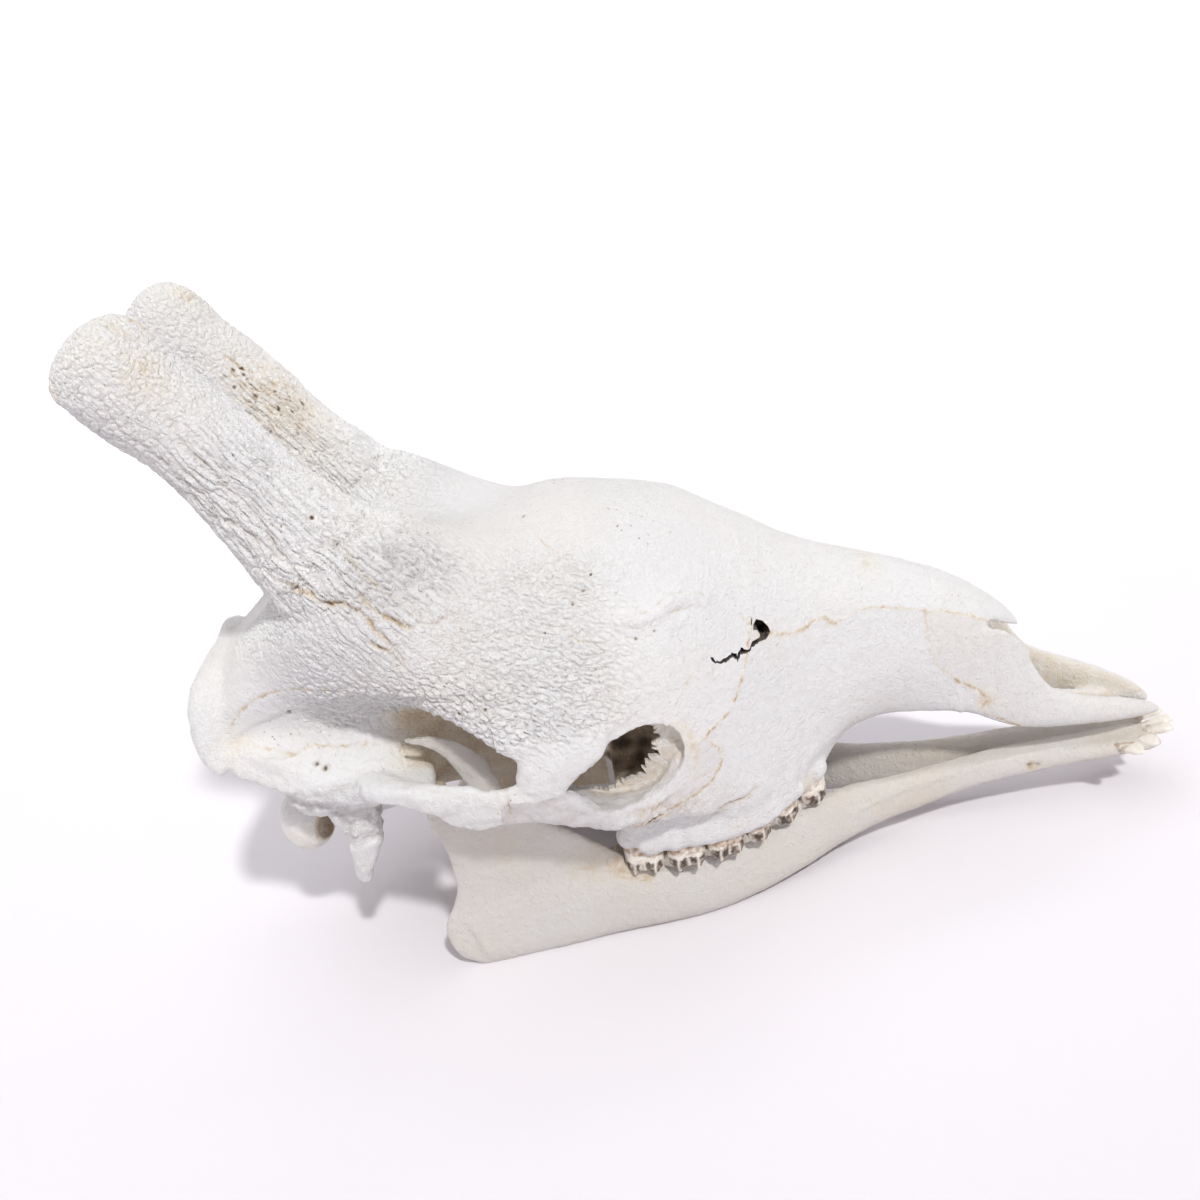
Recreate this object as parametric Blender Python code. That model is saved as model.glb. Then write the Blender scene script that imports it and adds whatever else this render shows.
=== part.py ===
"""Skull of an adult male giraffe with its lower jaw, life size, resting on the jaw.

Skull frame, in millimetres until the meshes are made: +X runs forward to the muzzle, +Z is up,
y = 0 is the plane of symmetry and the floor is z = 0. Paired bones are described on the +Y side.
The bones are lofted along named stations, fused into one smooth surface, opened where the real
skull is hollow and parted into single bones along their sutures.
"""
import math

import bmesh
import bpy
import numpy as np

MM = 0.001

# Driving sizes of the whole skull
SUTURE_GAP = 0.3
FINE = 2.2
UPPER_TRIANGLES = 5800
JAW_TRIANGLES = 2100

# Outline of the cranium at stations along X. Each row holds the height of the crown on the
# midline, then (y, z) of the shoulder, the flank, the temporal and orbital rim, the underside
# of that rim, the braincase wall, the lower shelf and the underside, then the height of the
# base on the midline.
CRANIUM = [
    (-237, 229, (30, 225), (45, 217), (55, 210), (60, 198), (63, 190), (64, 182), (45, 161), 138),
    (-222, 239, (34, 234), (50, 225), (60, 213), (61, 203), (62, 193), (70, 184), (50, 153), 124),
    (-205, 250, (40, 248), (58, 237), (66, 219), (63, 206), (62, 193), (76, 180), (54, 146), 106),
    (-180, 266, (50, 274), (76, 256), (73, 223), (66, 209), (62, 190), (82, 162), (58, 133), 96),
    (-155, 278, (60, 302), (93, 270), (81, 221), (69, 208), (60, 188), (86, 150), (60, 128), 94),
    (-130, 287, (62, 324), (101, 277), (89, 220), (72, 206), (56, 182), (84, 149), (60, 133), 102),
    (-105, 292, (62, 323), (105, 268), (99, 216), (77, 203), (51, 175), (62, 149), (40, 123), 104),
    (-80, 293, (62, 310), (104, 253), (109, 203), (85, 194), (47, 172), (40, 142), (28, 114), 101),
    (-55, 292, (62, 294), (103, 239), (118, 182), (93, 181), (45, 167), (34, 137), (26, 108), 100),
    (-30, 296, (60, 281), (100, 233), (121, 175), (96, 181), (43, 165), (32, 135), (26, 105), 96),
    (0, 301, (58, 275), (94, 232), (117, 182), (95, 184), (42, 165), (34, 135), (28, 105), 92),
    (30, 291, (54, 266), (86, 226), (102, 190), (85, 188), (42, 165), (36, 135), (30, 105), 92),
]

# Outline of the face: midline of the roof, then shoulder, flank, side, edge of the masseter
# shelf, foot of that shelf, gum line, inner gum line, then the palate on the midline.
FACE = [
    (4, 301, (58, 274), (94, 231), (114, 184), (112, 122), (85, 112), (77, 86), (56, 86), 90),
    (12, 300, (58, 273), (93, 230), (111, 183), (109, 119), (86, 109), (80, 70), (52, 70), 78),
    (28, 296, (57, 270), (91, 228), (105, 180), (103, 112), (86, 102), (81, 68), (53, 68), 78),
    (50, 292, (54, 264), (85, 223), (97, 170), (97, 104), (86, 95), (81, 67.5), (54, 67.5), 78),
    (72, 285, (50, 254), (77, 212), (86, 160), (87, 98), (82, 88), (79.5, 67), (54, 67), 78),
    (95, 270, (44, 239), (65, 202), (74, 150), (76, 96), (74, 84), (72.5, 67), (48, 67), 78),
    (118, 255, (38, 226), (53, 195), (61, 150), (62, 100), (60, 86), (57.5, 70), (38, 70), 80),
    (140, 240, (33, 215), (44, 189), (51, 148), (49, 104), (44, 90), (39, 75), (27, 76), 86),
    (158, 231, (31, 207), (40, 183), (46, 148), (42, 114), (36, 103), (30, 97), (24, 97), 98),
    (180, 222, (29, 200), (37, 178), (41, 148), (36, 120), (31, 110), (26, 106), (20, 107), 107),
    (205, 212, (27, 192), (34, 172), (37, 148), (33, 122), (29, 110), (25, 105), (19, 106), 107),
    (232, 199, (25, 182), (31, 166), (33, 145), (31, 120), (28, 106), (25, 100), (18, 101), 102),
    (256, 184, (22, 172), (28, 158), (30, 138), (29, 115), (27, 100), (25, 93), (18, 94), 96),
    (264, 179, (21, 169), (27, 155), (29, 136), (28, 112), (26, 97), (24, 90), (18, 91), 94),
]

# Free ends of the nasal bones: crown height, shoulder, edge, underside and underside midline.
NASAL_TIPS = [
    (232, 199, (16, 193), (27, 177), (18, 180), 188),
    (250, 188, (15, 183), (25, 168), (16, 171), 178),
    (268, 175, (13, 171), (20, 160), (12, 162), 167),
    (281, 163, (10, 160), (14, 153), (9, 153), 157),
    (291, 151, (5, 149.5), (8, 147), (5, 146.5), 148),
]

# Bars: (x, y, z, half size across, half size upright) along the middle of each bone.
OSSICONE = [
    (-104, 61, 248, 20, 22),
    (-119, 62, 271, 30, 33),
    (-134, 62.5, 293, 35, 38),
    (-148, 62, 315, 33, 35),
    (-163, 62, 339, 30, 30),
    (-178, 62, 367, 28.5, 28),
    (-195, 62, 392, 28, 27.5),
    (-211, 62, 410, 29, 28.5),
    (-221, 62, 425, 29, 29.5),
    (-228, 62, 436, 26.5, 27),
    (-232.5, 62, 443, 20, 20),
    (-235, 62, 446.5, 8, 8),
]
NUCHAL_CREST = [
    (-233, 70, 178, 4, 4),
    (-238, 67, 183, 5, 5),
    (-243, 62, 192, 5, 7),
    (-244, 57, 204, 5, 8),
    (-243, 51, 216, 5, 8),
    (-239, 38, 225, 5, 8),
    (-235, 20, 229, 5, 8),
    (-233, -6, 230, 5, 8),
]
ZYGOMATIC_ARCH = [
    (40, 92, 112, 6, 10),
    (14, 106, 117, 7, 7),
    (-8, 112, 126, 7, 7),
    (-28, 115, 139, 6.5, 12),
    (-48, 116, 147, 6, 12.5),
    (-65, 115, 147, 5.5, 12.5),
    (-80, 112, 147, 5.5, 15),
    (-95, 108, 151, 6, 12),
    (-108, 104, 155, 7, 9),
    (-120, 99, 157, 8, 7),
    (-133, 91, 157, 10, 7),
    (-148, 76, 155, 12, 8),
]
POSTORBITAL_BAR = [
    (-24, 92, 212, 30, 9),
    (-24, 104, 198, 31, 9),
    (-24, 110, 187, 30, 9),
    (-28, 113, 179, 26, 8.5),
    (-32, 114.5, 171, 20, 8),
    (-37, 115, 161, 15.5, 7.5),
    (-40, 114.5, 152, 14, 7),
    (-42, 114, 144, 14, 6),
]
ORBIT_FLOOR = [
    (-30, 104, 148, 8, 4),
    (-20, 103, 136, 11, 4),
    (-8, 102, 127, 12, 4),
    (6, 101, 123, 12, 4),
    (22, 98, 124, 12, 4),
    (36, 92, 132, 12, 4),
    (47, 83, 146, 8, 4),
]
GLENOID_PLATE = [
    (-128, 46, 152, 16, 8),
    (-122, 70, 153, 16, 6),
    (-118, 90, 154, 14, 6),
    (-116, 103, 156, 9, 6),
]
PAROCCIPITAL = [
    (-170, 50, 158, 12, 12),
    (-166, 58, 140, 18, 11),
    (-163, 61, 124, 15, 9),
    (-162, 62, 108, 12, 7),
    (-166, 62, 92, 9, 5),
    (-169, 61.5, 79, 6, 4),
    (-171, 61, 69, 3, 2.5),
]
PTERYGOID = [
    (20, 33, 88, 7, 14),
    (2, 30, 89, 5, 17),
    (-20, 27, 90, 3.6, 20),
    (-42, 25, 93, 3.2, 19),
    (-60, 24, 100, 3.4, 14),
    (-78, 21, 106, 4, 8),
]
PREMAXILLA = [
    (244, 27, 132, 4, 30),
    (260, 27, 126, 4.5, 33),
    (272, 26.5, 113, 5, 26),
    (284, 26, 101, 5.5, 21.5),
    (297, 25, 92, 6, 17),
    (313, 24, 86, 6.5, 13.5),
    (335, 21.5, 79.5, 7, 10.5),
    (355, 18, 74, 7, 8.5),
    (372, 13.5, 68.5, 6, 6.5),
    (384, 9.5, 64, 4.5, 4.5),
    (391, 7, 61, 2.5, 2.5),
]
PALATINE_PROCESS = [
    (268, 8, 97, 5, 4),
    (290, 7, 89, 4, 3.5),
    (320, 6.5, 80, 3.5, 3.5),
    (350, 8, 72, 3.5, 3.5),
    (374, 11, 66, 4, 3.5),
]
JAW_BODY = [
    (-104, 79, 22, 4.5, 21),
    (-75, 77, 29, 4.5, 29),
    (-50, 75, 31, 5.5, 31),
    (-25, 72, 32, 7, 32),
    (0, 69, 28, 9, 28),
    (25, 67, 24, 10, 24),
    (55, 63, 23.5, 10, 24),
    (85, 56, 25.5, 9.5, 23),
    (115, 46, 30, 9, 23.5),
    (140, 36.5, 33.5, 8.5, 22),
    (165, 28, 35, 8, 20),
    (190, 22.5, 35.5, 7.5, 16.5),
    (215, 18.5, 36.5, 7.5, 14.5),
    (245, 14, 38.5, 8.5, 11.5),
    (275, 10.8, 39.5, 10.5, 10.5),
    (305, 10.5, 40.5, 11, 9),
    (335, 11.5, 42, 12, 7.5),
    (360, 13, 43.5, 14, 6),
    (378, 13.5, 44, 14.5, 4.5),
    (386, 13.5, 44, 12, 3),
]
# Rising branch of the jaw by level: z, rear x, front x, y at the rear, y at the front, half thickness.
JAW_RAMUS = [
    (0, -106, -50, 79, 74, 3),
    (8, -117, -20, 78.5, 71.5, 4.5),
    (20, -123, 0, 78, 70, 5),
    (38, -123, 8, 77.5, 70, 5),
    (50, -116, 9, 77, 71, 5),
    (61, -111, 3, 77, 72, 4.8),
    (72, -110, -6, 77.5, 74, 4.6),
    (80, -110, -14, 78, 75.5, 4.4),
    (93, -110, -26, 80, 79, 4.2),
    (107, -111, -41, 82, 81.5, 4),
    (118, -113, -55, 83.5, 83.5, 4),
    (127, -114, -66, 84.5, 84.5, 3.5),
]
JAW_NECK = [
    (-105, 83.5, 112, 9, 4),
    (-107, 84.5, 124, 8, 5),
    (-108, 85, 134, 7, 7),
]
JAW_CONDYLE = [
    (-107, 62, 134, 4, 3),
    (-108, 68, 137, 7, 5.5),
    (-108, 81, 138.5, 8, 6),
    (-108, 91, 138, 7, 5.5),
    (-108, 96, 136, 4, 3),
]
CORONOID = [
    (-74, 83, 112, 14, 4),
    (-75, 83.5, 130, 11, 3.8),
    (-77, 83, 146, 10, 3.4),
    (-82, 82.5, 160, 10, 3.2),
    (-90, 82, 171, 8.5, 3),
    (-100, 81.5, 178, 6.5, 2.8),
    (-110, 81, 181.5, 4.5, 2.5),
    (-119, 81, 182.5, 2.8, 2.2),
]

# The left horn leans a little further back than the right one.
LEFT_HORN_LEAN = (-6, 0, -4)
# The left premaxilla is bowed up a little more than the right one.
LEFT_PREMAXILLA_RISE = 9

# Openings
ORBIT = [(7, 128, 151, 41, 27), (12, 113, 153, 37.5, 25), (14, 100, 154, 34.5, 24.5), (15, 91, 154, 34, 26),
         (16, 80, 152, 37, 32), (14, 66, 152, 35, 31), (8, 54, 154, 27, 22), (-4, 43, 155, 14, 12)]
ORBIT_TILT = (0.98, 0, 0.17)
NASAL_CAVITY = [(330, 118, 60, 62), (290, 128, 34, 40), (266, 136, 23.5, 34), (240, 146, 23, 34),
                (205, 152, 21, 32), (175, 158, 15, 26), (150, 160, 6, 12)]
CHOANA = [(-95, 92, 15, 14), (-50, 94, 17, 13), (-10, 96, 17, 11), (30, 98, 14, 9), (50, 98, 6, 5)]
FORAMEN_MAGNUM = [(-262, 124, 22, 22), (-226, 127, 18, 18), (-200, 131, 16, 16), (-165, 138, 14, 14),
                  (-150, 140, 6, 6)]
OCCIPUT_HOLLOW = [(-272, 22, 186), (34, 24, 40)]

# Suture lines in the XZ plane. The first divides the face from the cranium, from the bridge of
# the nose past the lacrimal bone to behind the last tooth.
FACE_SUTURE = [(92, 340), (104, 212), (93, 184), (81, 165), (64, 155), (71, 143), (69, 131), (55, 122),
               (40, 118), (20, 112), (4, 106), (-1, 96), (-1, 50)]
NASAL_SUTURE = [(98, 214), (104, 207), (117, 197), (135, 192), (149, 195), (159, 189), (176, 193),
                (202, 188), (220, 182), (243, 174), (263, 164), (276, 153), (300, 134)]
PREMAXILLA_SUTURE = [(220, 182), (220, 162), (225, 145), (238, 128), (255, 115), (259, 107), (257, 103),
                     (273, 87), (283, 81), (287, 66)]
CHEEK_SUTURE = [(-60, 100), (-60, 152), (-40, 151), (-18, 153), (20, 155), (64, 155)]
CHEEK_DEPTH = 78
HORN_BASE = (-146, 63, 303)
HORN_AXIS = (-0.53, 0, 0.85)
FLOOR_TRIM = 0.8
SHARP_ANGLE = math.radians(40)

# Single rounded swellings: centre and radii.
OCCIPITAL_CONDYLE = [(-205, 30, 107), (18.5, 18, 22.5)]
BULLA = [(-152, 34, 118), (18, 10, 11)]
MASTOID = [(-182, 60, 150), (20, 16, 22)]

# Cheek teeth, rear to front: x of the two ends, y of the outer wall at each end, z of the gum.
UPPER_TEETH = [
    (-1, 27.5, 78.5, 81.5), (28, 56, 82, 82), (57, 84.5, 81.5, 74.5), (85.5, 104.5, 73.5, 65),
    (105.5, 126.5, 64, 52.5), (127.5, 148.5, 51.5, 41.5),
]
LOWER_TEETH = [
    (-14, 22, 69, 71), (23, 50, 71, 69), (51, 77, 68, 62), (78, 98, 63, 56), (99, 119, 55, 47),
    (120, 141, 46, 39),
]
UPPER_TOOTH_WIDTH = 25.0
LOWER_TOOTH_WIDTH = 16.0
PREMOLAR_WIDTH = 0.8
BITE_HEIGHT = 57.5
BITE_SLOPE = -0.22
BITE_MIDDLE = 68.0
BITE_CLEARANCE = 0.6
TOOTH_ROOM = 0.5
# Incisors and canine of one side: y of the root, spread at the crown, crown half width.
FRONT_TEETH = [(4.6, 6.4, 5.0), (10.6, 17.0, 4.8), (16.4, 27.0, 4.5), (22.2, 37.2, 5.2)]

# A point on each bone of the +Y side, by which its surface is told from the others.
LANDMARKS = {
    "cranium": (-200, 0, 250),
    "ossicone": (-235, 62, 446),
    "zygomatic": (-50, 121, 140),
    "nasal": (200, 15, 212),
    "maxilla": (120, 60, 120),
    "premaxilla": (380, 10, 66),
    "mandible": (-100, 82, 20),
}

# Colour and roughness of each kind of bone.
FINISHES = {
    "cranium_bone": ((0.80, 0.77, 0.71, 1.0), 0.62),
    "horn_bone": ((0.78, 0.74, 0.67, 1.0), 0.75),
    "cheek_bone": ((0.80, 0.76, 0.70, 1.0), 0.60),
    "nasal_bone": ((0.81, 0.79, 0.75, 1.0), 0.60),
    "maxilla_bone": ((0.81, 0.77, 0.72, 1.0), 0.55),
    "premaxilla_bone": ((0.80, 0.76, 0.70, 1.0), 0.55),
    "jaw_bone": ((0.78, 0.74, 0.67, 1.0), 0.50),
}
# Bones that come in pairs, with the finish of each.
PAIRED = {
    "ossicone": "horn_bone",
    "zygomatic": "cheek_bone",
    "nasal": "nasal_bone",
    "maxilla": "maxilla_bone",
    "premaxilla": "premaxilla_bone",
}


def clear_scene():
    for thing in list(bpy.data.objects):
        bpy.data.objects.remove(thing, do_unlink=True)


def smooth_rows(knots, rows, at):
    """Cubic curve through rows of numbers that sit at increasing knots."""
    knots = np.asarray(knots, float)
    rows = np.asarray(rows, float)
    slopes = np.gradient(rows, knots, axis=0)
    span = np.clip(np.searchsorted(knots, at, side="right") - 1, 0, len(knots) - 2)
    width = (knots[span + 1] - knots[span])[:, None]
    t = (at - knots[span])[:, None] / width
    blend_start = 2 * t**3 - 3 * t**2 + 1
    lead_start = (t**3 - 2 * t**2 + t) * width
    lead_end = (t**3 - t**2) * width
    return (blend_start * rows[span] + lead_start * slopes[span]
            + (1 - blend_start) * rows[span + 1] + lead_end * slopes[span + 1])


def closed_curve(points, per_span):
    """Smooth closed curve through points, with the same number of samples in each span."""
    points = np.asarray(points, float)
    padded = np.vstack([points[-2:], points, points[:3]])
    steps = np.sqrt(np.linalg.norm(np.diff(padded, axis=0), axis=1))
    knots = np.concatenate([[0.0], np.cumsum(steps)])
    starts = knots[2:2 + len(points)]
    ends = knots[3:3 + len(points)]
    fractions = np.arange(per_span) / per_span
    at = (starts[:, None] + (ends - starts)[:, None] * fractions).ravel()
    return smooth_rows(knots, padded, at)


def loft(rings):
    """Closed body through rings with equal numbers of points."""
    rings = np.asarray(rings, float)
    count, around, _ = rings.shape
    faces = []
    for ring in range(count - 1):
        for k in range(around):
            a = ring * around + k
            b = ring * around + (k + 1) % around
            faces.append((a, b, b + around, a + around))
    faces.append(tuple(range(around - 1, -1, -1)))
    faces.append(tuple((count - 1) * around + k for k in range(around)))
    return facing_out(rings.reshape(-1, 3), faces)


def facing_out(points, faces):
    """The body with its faces turned outward, judged by its signed volume."""
    volume = 0.0
    for face in faces:
        corner = points[face[0]]
        for k in range(1, len(face) - 1):
            volume += np.dot(corner, np.cross(points[face[k]], points[face[k + 1]]))
    if volume < 0:
        faces = [face[::-1] for face in faces]
    return points, faces


def mirrored(body):
    points, faces = body
    return points * (1, -1, 1), [face[::-1] for face in faces]


def both_sides(*bodies):
    return list(bodies) + [mirrored(body) for body in bodies]


def turned(bodies, way):
    """Bodies of the +Y side as they are, or mirrored where way is negative."""
    return [mirrored(body) for body in bodies] if way < 0 else bodies


def profile_loft(stations, step, per_span):
    """Loft along X whose section is a mirrored half outline, read from station rows."""
    knots = [row[0] for row in stations]
    rows = [[row[1]] + [c for pair in row[2:-1] for c in pair] + [row[-1]] for row in stations]
    at = np.linspace(knots[0], knots[-1], int((knots[-1] - knots[0]) / step) + 2)
    rings = []
    for x, row in zip(at, smooth_rows(knots, rows, at)):
        side = row[1:-1].reshape(-1, 2)
        outline = np.vstack([[0, row[0]], side, [0, row[-1]], (side * (-1, 1))[::-1]])
        ring = closed_curve(outline, per_span)
        rings.append(np.column_stack([np.full(len(ring), x), ring]))
    return loft(rings)


def leaning(rows, lean):
    """The rows with a shift that grows evenly from the first row to the last."""
    share = np.linspace(0, 1, len(rows))[:, None]
    rows = np.array(rows, float)
    rows[:, :3] += share * np.asarray(lean, float)
    return rows


def bowed(rows, rise):
    """The rows with their upper edge raised in a bow between the two ends."""
    share = np.linspace(0, 1, len(rows))
    rows = np.array(rows, float)
    lift = rise / 2 * np.sin(math.pi * share**0.75)
    rows[:, 2] += lift
    rows[:, 4] += lift
    return rows


def bar(rows, across=(0, 1, 0), squareness=2.3, step=4.0, around=28):
    """Swept bone: superellipse sections along a smooth path through the rows."""
    rows = np.asarray(rows, float)
    chords = np.linalg.norm(np.diff(rows[:, :3], axis=0), axis=1)
    knots = np.concatenate([[0.0], np.cumsum(chords)])
    at = np.linspace(0, knots[-1], int(knots[-1] / step) + 2)
    path = smooth_rows(knots, rows, at)
    tangents = np.gradient(path[:, :3], at, axis=0)
    angles = np.linspace(0, 2 * math.pi, around, endpoint=False)
    power = 2.0 / squareness
    wide = np.sign(np.cos(angles)) * np.abs(np.cos(angles))**power
    tall = np.sign(np.sin(angles)) * np.abs(np.sin(angles))**power
    rings = []
    for row, tangent in zip(path, tangents):
        tangent = tangent / np.linalg.norm(tangent)
        side = np.asarray(across, float) - np.dot(across, tangent) * tangent
        side = side / np.linalg.norm(side)
        rise = np.cross(tangent, side)
        half_wide, half_tall = np.maximum(row[3:5], 0.8)
        rings.append(row[:3] + np.outer(wide * half_wide, side) + np.outer(tall * half_tall, rise))
    return loft(rings)


def upright_plate(levels, step=3.0, around=32):
    """Upright plate whose rows give, for each level, its two ends along X, their y and half thickness."""
    knots = [row[0] for row in levels]
    rows = [row[1:] for row in levels]
    at = np.linspace(knots[0], knots[-1], int((knots[-1] - knots[0]) / step) + 2)
    angles = np.linspace(0, 2 * math.pi, around, endpoint=False)
    length = np.sign(np.cos(angles)) * np.abs(np.cos(angles))**0.4
    depth = np.sign(np.sin(angles)) * np.abs(np.sin(angles))**0.8
    rings = []
    for z, (rear, front, y_rear, y_front, half) in zip(at, smooth_rows(knots, rows, at)):
        x = (rear + front) / 2 + (front - rear) / 2 * length
        y = y_rear + (y_front - y_rear) * (1 + length) / 2 + half * depth
        ring = np.column_stack([x, y])
        rings.append(np.column_stack([ring, np.full(around, z)]))
    return loft(rings)


def tunnel(rows):
    """Cutter on the midline: (x, z, half width, half height) along X."""
    path = [(x, 0, z, half_width, half_height) for x, z, half_width, half_height in rows]
    return bar(path, squareness=2.2)


def ellipsoid(centre, radii, around=28):
    """Rounded swelling as a stack of rings."""
    rings = []
    for level in np.linspace(-0.5, 0.5, around // 2 + 1)[1:-1] * math.pi:
        angles = np.linspace(0, 2 * math.pi, around, endpoint=False)
        ring = np.column_stack([np.cos(angles) * math.cos(level), np.sin(angles) * math.cos(level),
                                np.full(around, math.sin(level))])
        rings.append(ring * radii + centre)
    return loft(rings)


def new_object(name, bodies):
    """One object that holds the given closed bodies."""
    points = []
    faces = []
    start = 0
    for body_points, body_faces in bodies:
        points.extend((body_points * MM).tolist())
        faces.extend(tuple(start + k for k in face) for face in body_faces)
        start += len(body_points)
    mesh = bpy.data.meshes.new(name)
    mesh.from_pydata(points, [], faces)
    thing = bpy.data.objects.new(name, mesh)
    bpy.context.scene.collection.objects.link(thing)
    return thing


def add_bodies(thing, bodies):
    """Put more closed bodies into the object's mesh."""
    extra = new_object("extra", bodies)
    mesh = bmesh.new()
    mesh.from_mesh(thing.data)
    mesh.from_mesh(extra.data)
    mesh.to_mesh(thing.data)
    mesh.free()
    bpy.data.objects.remove(extra, do_unlink=True)


def apply_modifiers(thing):
    """Replace the object's mesh by its modified shape."""
    bpy.context.view_layer.update()
    graph = bpy.context.evaluated_depsgraph_get()
    shaped = bpy.data.meshes.new_from_object(thing.evaluated_get(graph))
    thing.modifiers.clear()
    thing.data = shaped


def fuse(thing, voxel, rounds):
    """Melt overlapping bodies into one skin and soften it."""
    remesh = thing.modifiers.new("Melt", "REMESH")
    remesh.mode = "VOXEL"
    remesh.voxel_size = voxel * MM
    soften = thing.modifiers.new("Soften", "SMOOTH")
    soften.factor = 0.5
    soften.iterations = rounds
    apply_modifiers(thing)


def cut(thing, tool, operation="DIFFERENCE", solver="MANIFOLD"):
    boolean = thing.modifiers.new("Cut", "BOOLEAN")
    boolean.operation = operation
    boolean.solver = solver
    boolean.object = tool
    apply_modifiers(thing)


def carve(thing, bodies, operation="DIFFERENCE"):
    """Boolean with one tool object made of the given bodies, which is then removed."""
    tool = new_object("tool", bodies)
    cut(thing, tool, operation)
    bpy.data.objects.remove(tool, do_unlink=True)


def thin_out(thing, triangles):
    """Triangulate and reduce to a number of triangles."""
    split = thing.modifiers.new("Triangles", "TRIANGULATE")
    split.min_vertices = 4
    apply_modifiers(thing)
    count = len(thing.data.polygons)
    reduce = thing.modifiers.new("Reduce", "DECIMATE")
    reduce.ratio = min(1.0, triangles / count)
    apply_modifiers(thing)


def prism(outline, low, high):
    """Outline in the XZ plane, extruded from y = low to y = high."""
    outline = np.asarray(outline, float)
    rings = []
    for y in (low, high):
        rings.append(np.column_stack([outline[:, 0], np.full(len(outline), y), outline[:, 1]]))
    return loft(rings)


def saw(line, low, high, gap=SUTURE_GAP):
    """Thin blade along a line in the XZ plane, extruded from y = low to y = high."""
    line = np.asarray(line, float)
    along = np.gradient(line, axis=0)
    along /= np.linalg.norm(along, axis=1)[:, None]
    normal = np.column_stack([-along[:, 1], along[:, 0]]) * gap / 2
    return prism(np.vstack([line + normal, (line - normal)[::-1]]), low, high)


def islands(thing):
    """The object's separate closed surfaces as objects of their own, largest first."""
    mesh = bmesh.new()
    mesh.from_mesh(thing.data)
    mesh.verts.ensure_lookup_table()
    label = {}
    groups = []
    for seed in mesh.verts:
        if seed.index in label:
            continue
        group = []
        stack = [seed]
        label[seed.index] = len(groups)
        while stack:
            vert = stack.pop()
            group.append(vert)
            for edge in vert.link_edges:
                other = edge.other_vert(vert)
                if other.index not in label:
                    label[other.index] = len(groups)
                    stack.append(other)
        groups.append(group)
    found = []
    for group in groups:
        order = {vert.index: k for k, vert in enumerate(group)}
        points = np.array([vert.co for vert in group]) / MM
        faces = {face for vert in group for face in vert.link_faces}
        ordered = sorted(faces, key=lambda face: face.index)
        found.append((points, [tuple(order[v.index] for v in face.verts) for face in ordered]))
    mesh.free()
    found.sort(key=lambda body: -len(body[0]))
    return found


def volume_of(body):
    points, faces = body
    volume = 0.0
    for face in faces:
        for k in range(1, len(face) - 1):
            volume += np.dot(points[face[0]], np.cross(points[face[k]], points[face[k + 1]]))
    return volume / 6


def largest(bodies):
    return max(bodies, key=volume_of)


def cheek_tooth(rear, front, outer_rear, outer_front, width, gum, bite_of, lobes, swell=0):
    """Tooth with rounded lobes on its outer wall, from a sunk root to a sloping bite."""
    around = 20
    angles = np.linspace(0, 2 * math.pi, around, endpoint=False)
    long = np.array([front - rear, outer_front - outer_rear])
    length = np.linalg.norm(long)
    forward = long / length
    length = length + 2 * swell
    width = width + 2 * swell
    outward = np.array([-forward[1], forward[0]])
    centre = np.array([(rear + front) / 2, (outer_rear + outer_front) / 2])
    centre = centre - outward * (width / 2 - swell)
    u = np.sign(np.cos(angles)) * np.abs(np.cos(angles))**0.55
    v = np.sign(np.sin(angles)) * np.abs(np.sin(angles))**0.55
    ripple = 1 - 0.10 * (0.5 + 0.5 * np.cos(2 * math.pi * lobes * (u + 1) / 2))
    root, direction = gum
    rings = []
    for depth, spread in ((0.0, 0.80), (0.45, 0.90), (1.0, 0.985)):
        ring = centre + np.outer(u * length / 2 * spread, forward)
        ring = ring + np.outer(v * width / 2 * spread * ripple, outward)
        bite = bite_of(ring[:, 1]) + direction * (swell - BITE_CLEARANCE / 2)
        z = root + (bite - root) * depth
        rings.append(np.column_stack([ring, z]))
    return loft(rings)


def bite_plane(y):
    return BITE_HEIGHT + BITE_SLOPE * (np.abs(y) - BITE_MIDDLE)


def upper_teeth(swell=0):
    """Six upper cheek teeth of the +Y side, or the room that they need."""
    teeth = []
    for k, (rear, front, outer_rear, outer_front) in enumerate(UPPER_TEETH):
        molar = k < 3
        width = UPPER_TOOTH_WIDTH * (1 if molar else PREMOLAR_WIDTH)
        root = 80 if k < 5 else 88
        teeth.append(cheek_tooth(rear + 0.4, front - 0.4, outer_rear, outer_front, width,
                                 (root, -1), bite_plane, 2 if molar else 1, swell))
    return teeth


def lower_teeth():
    """Six lower cheek teeth of the +Y side."""
    teeth = []
    for k, (rear, front, outer_rear, outer_front) in enumerate(LOWER_TEETH):
        molar = k < 3
        width = LOWER_TOOTH_WIDTH * (1 if molar else PREMOLAR_WIDTH)
        teeth.append(cheek_tooth(rear + 0.4, front - 0.4, outer_rear, outer_front, width,
                                 (36, 1), bite_plane, 2 if molar else 1))
    return teeth


def front_teeth():
    """Three incisors and the canine of the +Y side, leaning forward in a fan."""
    teeth = []
    for root_y, crown_y, half in FRONT_TEETH:
        reach = 402 - 0.018 * crown_y**2
        rows = [
            (368, root_y, 43.5, 2.4, 2.4),
            (384, root_y + 0.35 * (crown_y - root_y), 45, 2.6, 2.4),
            (reach - 7, root_y + 0.8 * (crown_y - root_y), 46, half * 0.85, 2.4),
            (reach + 1, crown_y, 46, half, 1.8),
        ]
        teeth.append(bar(rows, step=12.0, around=8))
    return teeth


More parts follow.
